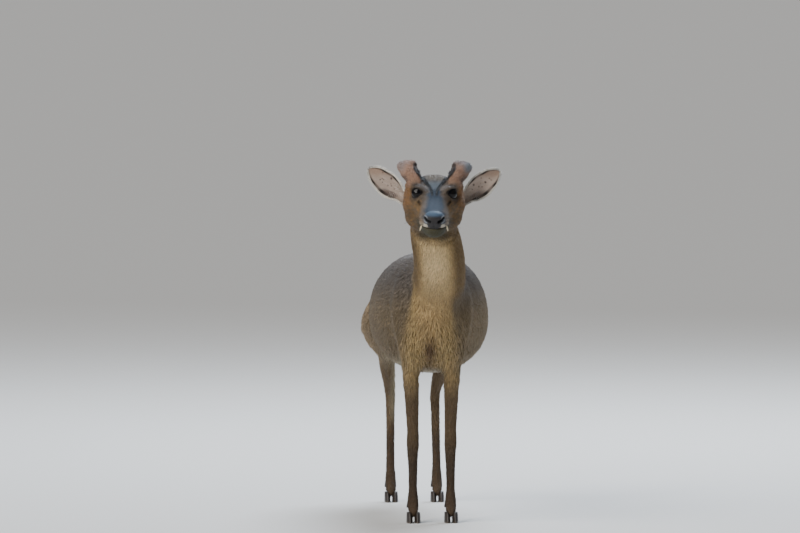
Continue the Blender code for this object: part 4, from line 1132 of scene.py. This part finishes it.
def ear_colours(points, side):
    """Inside: pale ridged skin with flecks and painted shade in its fold, painted paler on the left ear as
    painted
    light. Behind: brown, darker towards the margin.
    """
    share, q, behind = over_ear(on_head(points))
    lit_paleness, fold_shade_strength = EAR_LIGHT_AND_SHADE[side]
    off = np.abs(q)
    fold = groove(q - 0.35 - 1.9 * (share - 0.38), 0.1) * ramp(share, 0.34, 0.42) * ramp(share, 0.68, 0.6)
    # Painted shade in the fold by the lower margin
    patch = ramp(np.hypot((share - 0.38) / 0.2, (q - 0.6 - 0.5 * (share - 0.38)) / 0.28), 1.2, 0.6)
    inner = laid(
        all_over(points, EAR_SKIN) * lit_paleness,
        (EAR_RIDGE, 0.3 * np.clip(ear_ridges(share, q), 0, 1) * ramp(share, 0.1, 0.3)),
        (EAR_TIP, 0.8 * ramp(share - 0.22 * q, 0.66, 0.92)),
        (EAR_RIDGE, 0.8 * fold),
        (EAR_FLECK_AND_SHADE, fold_shade_strength * patch),
    )
    half = ear_width(share)[0]
    for at, across, radius in EAR_FLECKS[side]:
        away = np.hypot((share - at) * EAR_LENGTH * 1.25, (q - across) * half)
        inner = laid(inner, (EAR_FLECK_AND_SHADE, 0.95 * ramp(away, 1.3 * radius + 0.5, 1.3 * radius - 0.3)))
    edge = ramp(off, 0.64, 0.76) * ramp(share, 0.14, 0.3) * (0.8 + 0.2 * np.sin(23 * share + 3 * q))
    inner = laid(inner, (EAR_EDGE, edge), (WHITE_HAIR, ramp(off, 0.89, 0.95)))
    back = laid(
        all_over(points, EAR_BACK),
        (CHEEK, ramp(share, 0.3, 0.02)),
        (EAR_EDGE, 0.6 * ramp(off, 0.6, 0.85) * ramp(share, 0.2, 0.5)),
        (WHITE_HAIR, 0.9 * ramp(off, 0.88, 0.98)),
    )
    return back + (ramp(behind, 1.2, 0.5) * ramp(off, 1.1, 0.98))[:, None] * (inner - back)


def mirrored(mesh):
    """The right side's copy of a mesh on the left."""
    other = mesh.copy()
    set_points(other, off_head(on_head(points_of(mesh)) * (-1, 1, 1)))
    other.flip_normals()
    return other


EAR_MATERIAL = haired_material("ear_skin", 1600.0, 0.30, 0.25 * MM, roughness=0.6)[0]
left_ear = ear_shape()
relaxed(left_ear, 5)
share, q, behind = over_ear(on_head(points_of(left_ear)))
swell = 0.45 * ear_ridges(share, q) * ramp(behind, 1.4, 0.6)
pushed_out(left_ear, swell * ramp(share, 0.08, 0.25) * ramp(share, 0.95, 0.7))
ears = {"left": left_ear, "right": mirrored(left_ear)}
for side, mesh in ears.items():
    paint(mesh, "markings", ear_colours(points_of(mesh), side))
    dressed(f"ear_skin_{side}", mesh, EAR_MATERIAL, "coat", f"ear_{side}")

# Fur of the ears: short and brown behind, sparse and pale inside, white along the rim and long at the root.
# Each kind: tufts on an ear, their length, width and height in mm, and how far they stray in degrees
EAR_HAIR = {
    "back": (4600, 4.6, 0.7, 0.8, 14),
    "inside": (700, 2.6, 0.22, 0.3, 14),
    "rim": (2000, 1.7, 0.36, 0.1, 9),
    "root": (170, 6.0, 0.26, 1.2, 14),
}
fur_rng = np.random.default_rng(HAIR_SEED + 40)
gathered = []
for side, sign in SIDES.items():
    mesh = ears[side]
    share, q, behind = over_ear(on_head(triangle_middles(mesh)))
    off = np.abs(q)
    inner = (behind < 0.9) & (off < 0.95)
    places = {
        "back": ~inner & (off < 1.3),
        "inside": inner & (share > 0.12),
        "rim": (off > 0.9) & (off < 1.2) & (share > 0.1) & (behind < 1.6),
        "root": inner & (share < 0.34) & ((q < -0.2) | (q > 0.55)),
    }
    along, across, opening = np.stack([EAR_ALONG, EAR_ACROSS, EAR_OPENING]) * (sign, 1, 1) @ HEAD_AXES.T
    for kind, (count, length, width, height, stray) in EAR_HAIR.items():
        roots, normals = rooted(mesh, places[kind], count, fur_rng)
        share, q, _ = over_ear(on_head(roots))
        outward = np.sign(q)[:, None] * across
        widening = (ear_width(share + 0.01)[0] - ear_width(share - 0.01)[0]) / 0.02 / EAR_LENGTH
        flow = {
            "back": laid_along(along + 0.25 * outward, normals),
            "inside": laid_along(along + 0.5 * outward, normals),
            "rim": unit(along + widening[:, None] * outward) + 0.1 * outward,
            "root": 0.7 * along - 0.7 * outward + 0.5 * opening,
        }[kind]
        lie = swirled(roots, unit(flow), normals, stray, fur_rng)
        colours = ear_colours(roots, side)
        if kind in ("rim", "root"):
            colours = all_over(roots, WHITE_HAIR)
        if kind == "inside":
            colours = laid(colours, (EAR_RIDGE, 0.35 * ramp(np.abs(q), 0.62, 0.45)))
        sizes = fur_rng.uniform(0.7, 1.3, count)
        tone = fur_rng.uniform(0.82, 1.18, count)
        strip = 0.01 + 0.5 * (side == "right") + 0.25 * (kind != "back")
        along_map = np.clip(share, 0, 1) * 0.96 + 0.02
        spots = np.stack([along_map, (np.clip(q, -1, 1) + 1) * 0.115 + strip], axis=1)
        shape = (length * sizes, width * sizes, height * sizes)
        gathered.append((roots, normals, lie, *shape, tone, spots, colours))
tufts("coat_ears", *(np.concatenate(rows) for rows in zip(*gathered)))

# The antlers
# Short antlers still growing, in velvet: soft skin with fine fur over each stub, rounded at the tips, where
# it starts to fork. Each sits on its pedicle with no seam to be seen, and its tips are greyer than its foot.

VELVET = ((39, 130.5, 53.5, 13.6, 13.8), (42, 139, 57.5, 14.6, 14.4), (44.5, 146, 60, 12.8, 12.6))
VELVET_LOBES = ((37, 139, 66, 8.2), (51.8, 145, 61.8, 9.0))
VELVET_ROOT = ((31, 115, 42, 12.4, 12.0), (35.5, 124, 49.5, 13.0, 12.4), (40, 134, 55.5, 13.4, 13.2))
VELVET_VOXEL = 1.1 * MM
VELVET_FOOT = (0.340, 0.205, 0.145)
VELVET_GREY = (0.185, 0.205, 0.225)
# Black of the glands' lines up the antlers, and painted shade on their outer sides and backs
VELVET_BLACK_AND_SHADE = (0.050, 0.042, 0.040)
VELVET_TUFTS = 3000
# Length, width and height of the velvet's hairs, in mm
VELVET_HAIR = (2.4, 0.34, 0.55)


def ball_of(x, y, z, radius):
    """A ball on the head, in mm."""
    made = bmesh.new()
    bmesh.ops.create_uvsphere(made, u_segments=24, v_segments=16, radius=radius * MM)
    bmesh.ops.translate(made, verts=made.verts, vec=Vector(off_head((x, y, z))))
    return mesh_from(made, "ball")


def velvet_colours(points):
    head = on_head(points)
    x, y, z = np.abs(head[:, 0]), head[:, 1], head[:, 2]
    across, height = face_on(head)
    outer = ramp(np.hypot((x - 56) / 8, (z - 65) / 9), 1.7, 0.3)
    greyer = np.where(head[:, 0] < 0, 0.45, 0.95)
    line = np.interp(height, *np.array(FOREHEAD_GLAND).T[::-1])
    return laid(
        all_over(points, PEDICLE),
        (VELVET_FOOT, ramp(height, 22, 38)),
        (VELVET_GREY, greyer * outer),
        (VELVET_GREY, 0.6 * greyer * ramp(z, 64, 73)),
        (VELVET_BLACK_AND_SHADE, 0.9 * ramp(away_from(FOREHEAD_GLAND, across, height), 5.6, 2.4)),
        # painted shade on the outer side low down, and on the back
        (VELVET_BLACK_AND_SHADE, 0.6 * ramp(across - line, 15, 25) * ramp(height, 34, 24)),
        (VELVET_BLACK_AND_SHADE, 0.55 * ramp(y, 148, 158)),
    )


VELVET_MATERIAL = haired_material("velvet", 1900.0, 0.38, 0.4 * MM, roughness=0.8, sheen=0.12)[0]
lobes = [ball_of(*lobe) for lobe in VELVET_LOBES]
left_antler = fused("antler", [tube(VELVET_ROOT), tube(VELVET), *lobes], VELVET_VOXEL)
relaxed(left_antler, 4, pull_back=0.0)
relaxed(left_antler, 6)
x, y, z = on_head(points_of(left_antler)).T
pushed_out(left_antler, 0.35 * np.sin(x / 2.3 + 1.7 * np.sin(z / 3.1)) * np.sin(y / 2.7 + z / 2.1))
gathered = []
for (side, sign), mesh in zip(SIDES.items(), (left_antler, mirrored(left_antler))):
    paint(mesh, "markings", velvet_colours(points_of(mesh)))
    dressed(f"antler_velvet_{side}", mesh, VELVET_MATERIAL, "velvet", f"antler_{side}")
    clear_of_skull = on_head(triangle_middles(mesh))[:, 1] > 104
    roots, normals = rooted(mesh, clear_of_skull, VELVET_TUFTS, fur_rng)
    flow = laid_along(HEAD_AXES @ np.array((0.35 * sign, 0.65, 0.6)), normals) + 0.4 * normals
    lie = swirled(roots, unit(flow), normals, 18, fur_rng)
    sizes = fur_rng.uniform(0.7, 1.3, VELVET_TUFTS)
    tone = fur_rng.uniform(0.8, 1.2, VELVET_TUFTS)
    head = on_head(roots)
    around = np.arctan2(head[:, 2] - 57, np.abs(head[:, 0]) - 43) / math.pi + 1
    spots = np.stack([(head[:, 1] - 100) / 75, around / 4.2 + 0.5 * (side == "right")], axis=1)
    shape = (size * sizes for size in VELVET_HAIR)
    gathered.append((roots, normals, lie, *shape, tone, spots, velvet_colours(roots)))
tufts("coat_antlers", *(np.concatenate(rows) for rows in zip(*gathered)))

# The canine teeth
# A buck's upper canines are short curved tusks that stand out of the lip behind the corners of the nose. They
# are smooth, ivory coloured and faintly mottled, and darker at the root.

CANINE = (
    (17.8, 32, -12, 1.9, 2.1), (20.2, 33.5, -16.5, 1.6, 1.9),
    (21.9, 35.3, -21.0, 1.1, 1.4), (22.7, 37.6, -24.4, 0.4, 0.5),
)
IVORY = (0.700, 0.600, 0.400)
TOOTH_ROOT = (0.330, 0.230, 0.120)

TOOTH_MATERIAL = painted_material("ivory", IVORY, 0.3, 1400.0, 0.16)[0]
for side, sign in SIDES.items():
    tooth = tube([(sign * x, *rest) for x, *rest in CANINE], sides=20, spacing=0.8)
    points = points_of(tooth)
    at_root = ramp(on_head(points)[:, 2], -18, -13.5)
    paint(tooth, "markings", laid(all_over(points, IVORY), (TOOTH_ROOT, at_root)))
    dressed(f"tusk_{side}", tooth, TOOTH_MATERIAL, "tooth", f"canine_{side}")

# The hooves
# Two horn claws on each foot and two small dewclaws behind the fetlock: black-brown horn with fine growth
# rings that run level, worn paler at the edge of the sole.

HORN = (0.030, 0.022, 0.018)
WORN_HORN = (0.120, 0.095, 0.070)


def horn_material():
    """Level growth rings in the bump, and a worn, paler edge, blotched, round the sole."""
    made, tree, shader = plain_material("horn", HORN, 0.4)
    place = node_in(tree, "ShaderNodeTexCoord").outputs["Object"]
    ring_looks = {"Vector": place, "Scale": 110.0, "Distortion": 2.2, "Detail": 3.0}
    rings = node_in(tree, "ShaderNodeTexWave", ring_looks, bands_direction="Z").outputs["Fac"]
    height = node_in(tree, "ShaderNodeSeparateXYZ", {"Vector": place}).outputs["Z"]
    edge = {"Value": height, "From Min": 0.5 * MM, "From Max": 3.5 * MM, "To Min": 1.0, "To Max": 0.0}
    worn = node_in(tree, "ShaderNodeMapRange", edge).outputs["Result"]
    blotches = node_in(tree, "ShaderNodeTexNoise", {"Vector": place, "Scale": 260.0}).outputs["Fac"]
    share = node_in(tree, "ShaderNodeMath", {0: worn, 1: blotches}, operation="MULTIPLY").outputs[0]
    colours = {"Factor": share, "A": (*HORN, 1), "B": (*WORN_HORN, 1)}
    blend = node_in(tree, "ShaderNodeMix", colours, data_type="RGBA").outputs["Result"]
    bump = node_in(tree, "ShaderNodeBump", {"Height": rings, "Distance": 0.25 * MM, "Strength": 0.7})
    fill(tree, shader, {"Base Color": blend, "Normal": bump.outputs["Normal"]})
    return made


HORN_MATERIAL = horn_material()
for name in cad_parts:
    if "hoof" not in name and "dewclaw" not in name:
        continue
    claw = piece_of(name + "_horn", welded(name))
    rounded = claw.modifiers.new("Round", "BEVEL")
    rounded.width = 0.5 * MM
    rounded.segments = 2
    rounded.limit_method = "ANGLE"
    rounded.angle_limit = math.radians(35)
    dressed(name + "_horn", with_modifiers(claw), HORN_MATERIAL, "hoof", name)

# The eyes
# A dark brown ball in each socket, with a bulging cornea that takes the light and a long pupil that lies
# level. The ball's front shows between the lids.

EYE_BROWN = (0.004, 0.003, 0.002)
PUPIL_BLACK = (0.001, 0.001, 0.002)
CORNEA_RADIUS = 8.6
CORNEA_RISE = 0.9


def eye_material():
    made, tree, shader = plain_material("eye", EYE_BROWN, 0.04)
    painted = node_in(tree, "ShaderNodeAttribute", attribute_name="markings")
    fill(tree, shader, {"Base Color": painted.outputs["Color"], "IOR": 1.30})
    return made


EYE_MATERIAL = eye_material()
for side, sign in SIDES.items():
    shape = bmesh.new()
    bmesh.ops.create_uvsphere(shape, u_segments=64, v_segments=40, radius=1.0)
    ball = mesh_from(shape, f"eyeball_{side}")
    # The sphere's pole is turned to look out of the socket
    own = unit(points_of(ball))[:, (2, 0, 1)]
    front = own[:, 0] > 0
    off_centre = np.hypot(own[:, 1], own[:, 2]) * EYE_RADIUS
    bulge = CORNEA_RISE * ramp(off_centre, CORNEA_RADIUS, 2.0) * front
    pupil = np.hypot(own[:, 1] / 0.34, own[:, 2] / 0.16)
    colours = laid(
        all_over(own, EYE_BROWN),
        (PUPIL_BLACK, ramp(pupil, 1.15, 0.9) * front),
        (PUPIL_BLACK, ramp(off_centre, CORNEA_RADIUS - 1.2, CORNEA_RADIUS + 0.6)),
    )
    placed = (own * (EYE_RADIUS - 0.05 + bulge)[:, None]) @ EYE_AXES.T + EYE_SPOT
    placed[:, 0] *= sign
    set_points(ball, off_head(placed))
    if sign < 0:
        ball.flip_normals()
    paint(ball, "markings", colours)
    dressed(f"eyeball_{side}", ball, EYE_MATERIAL, "eye", f"eye_{side}")

# The whiskers and eyelashes
# Long stiff bristles on the lips, the chin and over the eyes, and short curved lashes along the upper lids.
# Each is a tapered black hair that stands in the skin and bends to its tip.

BRISTLE_HAIR = (0.012, 0.010, 0.009)
BRISTLE_POINTS = 6
# Rows of whiskers: the first and last root, how many, the way they point and their length, in mm on the head
WHISKERS = (
    ((19, 12, -9), (21, 30, -9), 5, (0.85, 0.25, -0.45), 25),
    ((19, 13, -5), (21, 29, -5), 4, (0.92, 0.20, -0.20), 28),
    ((18, 16, -1), (20, 28, -1), 3, (0.95, 0.15, 0.05), 23),
    ((4, 14, -24), (13, 26, -26), 5, (0.35, 0.25, -0.90), 17),
    ((26, 84, 42), (33, 92, 43), 3, (0.65, -0.30, 0.70), 20),
)
LASHES = 26
LASH_LENGTH = 5.2
LASH_STOUTNESS = 3.4


def bristle_tree():
    """One tapered bristle on each root, along the way stored there, bent towards its bow."""
    tree, given = group_of(
        "bristles",
        "GeometryNodeTree",
        (
            ("Roots", "NodeSocketGeometry", None),
            ("Points", "NodeSocketInt", BRISTLE_POINTS),
            ("Thickness", "NodeSocketFloat", 0.006),
            ("Bend", "NodeSocketFloat", 0.22),
            ("Hair", "NodeSocketMaterial", None),
        ),
        (("Bristles", "NodeSocketGeometry"),),
    )

    def stored(name):
        node = node_in(tree, "GeometryNodeInputNamedAttribute", {"Name": name}, data_type="FLOAT_VECTOR")
        return node.outputs["Attribute"]

    def reckoned(kind, a, b):
        return node_in(tree, "ShaderNodeMath", {0: a, 1: b}, operation=kind).outputs[0]

    # A bristle 1 long, up Z, bent along X and tapered to its tip
    line = node_in(tree, "GeometryNodeCurvePrimitiveLine").outputs["Curve"]
    stations = node_in(tree, "GeometryNodeResampleCurve", {"Curve": line, "Count": given["Points"]})
    along = node_in(tree, "GeometryNodeSplineParameter").outputs["Factor"]
    aside = reckoned("MULTIPLY", reckoned("POWER", along, 2.0), given["Bend"])
    offset = node_in(tree, "ShaderNodeCombineXYZ", {"X": aside}).outputs["Vector"]
    bent = node_in(tree, "GeometryNodeSetPosition", {"Geometry": stations.outputs["Curve"], "Offset": offset})
    radius = reckoned("SUBTRACT", 1.0, reckoned("MULTIPLY", along, 0.9))
    narrowing = {"Curve": bent.outputs["Geometry"], "Radius": radius}
    tapered = node_in(tree, "GeometryNodeSetCurveRadius", narrowing)
    ring = node_in(tree, "GeometryNodeCurvePrimitiveCircle", {"Resolution": 5, "Radius": given["Thickness"]})
    sweep = {"Curve": tapered.outputs["Curve"], "Profile Curve": ring.outputs["Curve"], "Fill Caps": True}
    hair = node_in(tree, "GeometryNodeCurveToMesh", sweep).outputs["Mesh"]
    # Stood on every root, along its way, and turned so that it bends towards its bow
    turn = "FunctionNodeAlignRotationToVector"
    upright = node_in(tree, turn, {"Vector": stored("way")}, axis="Z").outputs["Rotation"]
    turned = node_in(tree, turn, {"Rotation": upright, "Vector": stored("bow")}, axis="X", pivot_axis="Z")
    stand = {
        "Points": given["Roots"],
        "Instance": hair,
        "Rotation": turned.outputs["Rotation"],
        "Scale": stored("size"),
    }
    planted = node_in(tree, "GeometryNodeInstanceOnPoints", stand).outputs["Instances"]
    real = node_in(tree, "GeometryNodeRealizeInstances", {"Geometry": planted}).outputs["Geometry"]
    black = node_in(tree, "GeometryNodeSetMaterial", {"Geometry": real, "Material": given["Hair"]})
    node_in(tree, "NodeGroupOutput", {"Bristles": black.outputs["Geometry"]})
    return tree


bristle_rng = np.random.default_rng(HAIR_SEED + 60)
stands = []
for start, end, count, way, length in WHISKERS:
    for sign in SIDES.values():
        for t in np.linspace(0, 1, count):
            spot = np.array(start) * (1 - t) + np.array(end) * t + bristle_rng.normal(0, 0.7, 3)
            found = hide_piece.closest_point_on_mesh(Vector(off_head(spot * (sign, 1, 1))))
            place = np.array(found[1] - found[2] * 0.6 * MM)
            pointing = np.array(way) * (sign, 1, 1) + bristle_rng.normal(0, 0.12, 3)
            reach = length * bristle_rng.uniform(0.6, 1.1)
            stands.append((place, HEAD_AXES @ pointing, HEAD_AXES @ np.array((0, 0.5, -1)), reach, 1.0))
for sign in SIDES.values():
    for angle in np.radians(np.linspace(22, 158, LASHES)):
        flat = np.array((EYE_OPENING[0] * 1.03 * math.cos(angle), EYE_OPENING[1] * 1.1 * math.sin(angle)))
        lid = (math.sqrt((EYE_RADIUS + LID_RIM) ** 2 - flat @ flat), *flat)
        look = (1.0, 0.5 * math.cos(angle), 0.55 * math.sin(angle))
        spot, way, bow = (np.array(row) @ EYE_AXES.T * (sign, 1, 1) for row in (lid, look, (0.2, 0, 1)))
        place = off_head(spot + EYE_SPOT * (sign, 1, 1))
        reach = LASH_LENGTH * bristle_rng.uniform(0.75, 1.1)
        stands.append((place, HEAD_AXES @ way, HEAD_AXES @ bow, reach, LASH_STOUTNESS))
places, ways, bows, reaches, stoutness = (np.array(column) for column in zip(*stands))
sizes = reaches[:, None] * stoutness[:, None] ** (1, 1, 0) * MM
roots = bpy.data.meshes.new("bristle_roots")
roots.from_pydata(places.tolist(), [], [])
for name, rows in (("way", unit(ways)), ("bow", unit(bows)), ("size", sizes)):
    layer = roots.attributes.new(name, "FLOAT_VECTOR", "POINT")
    layer.data.foreach_set("vector", rows.astype(np.float32).ravel())
planted = piece_of("bristle_roots", roots)
growth = planted.modifiers.new("Bristles", "NODES")
growth.node_group = bristle_tree()
BRISTLE_MATERIAL = plain_material("bristle", BRISTLE_HAIR, 0.4)[0]
for socket in growth.node_group.interface.items_tree:
    if socket.name == "Hair":
        growth[socket.identifier] = BRISTLE_MATERIAL
grown = with_modifiers(planted)
grown.polygons.foreach_set("material_index", np.zeros(len(grown.polygons), np.int32))
# Each bristle has a patch of its own where its looks may be baked, in rows of twelve
corners = np.empty(len(grown.loops), np.int64)
grown.loops.foreach_get("vertex_index", corners)
bristle, step = np.divmod(corners, len(grown.vertices) // len(places))
across, up = bristle % 12 / 12 + 0.0001 * (step % 5), bristle // 12 / 12 + 0.0005 * (step // 5)
unwrapped(grown, np.stack([across, up], axis=1) + 0.04)
dressed("bristles", grown, BRISTLE_MATERIAL, "coat")
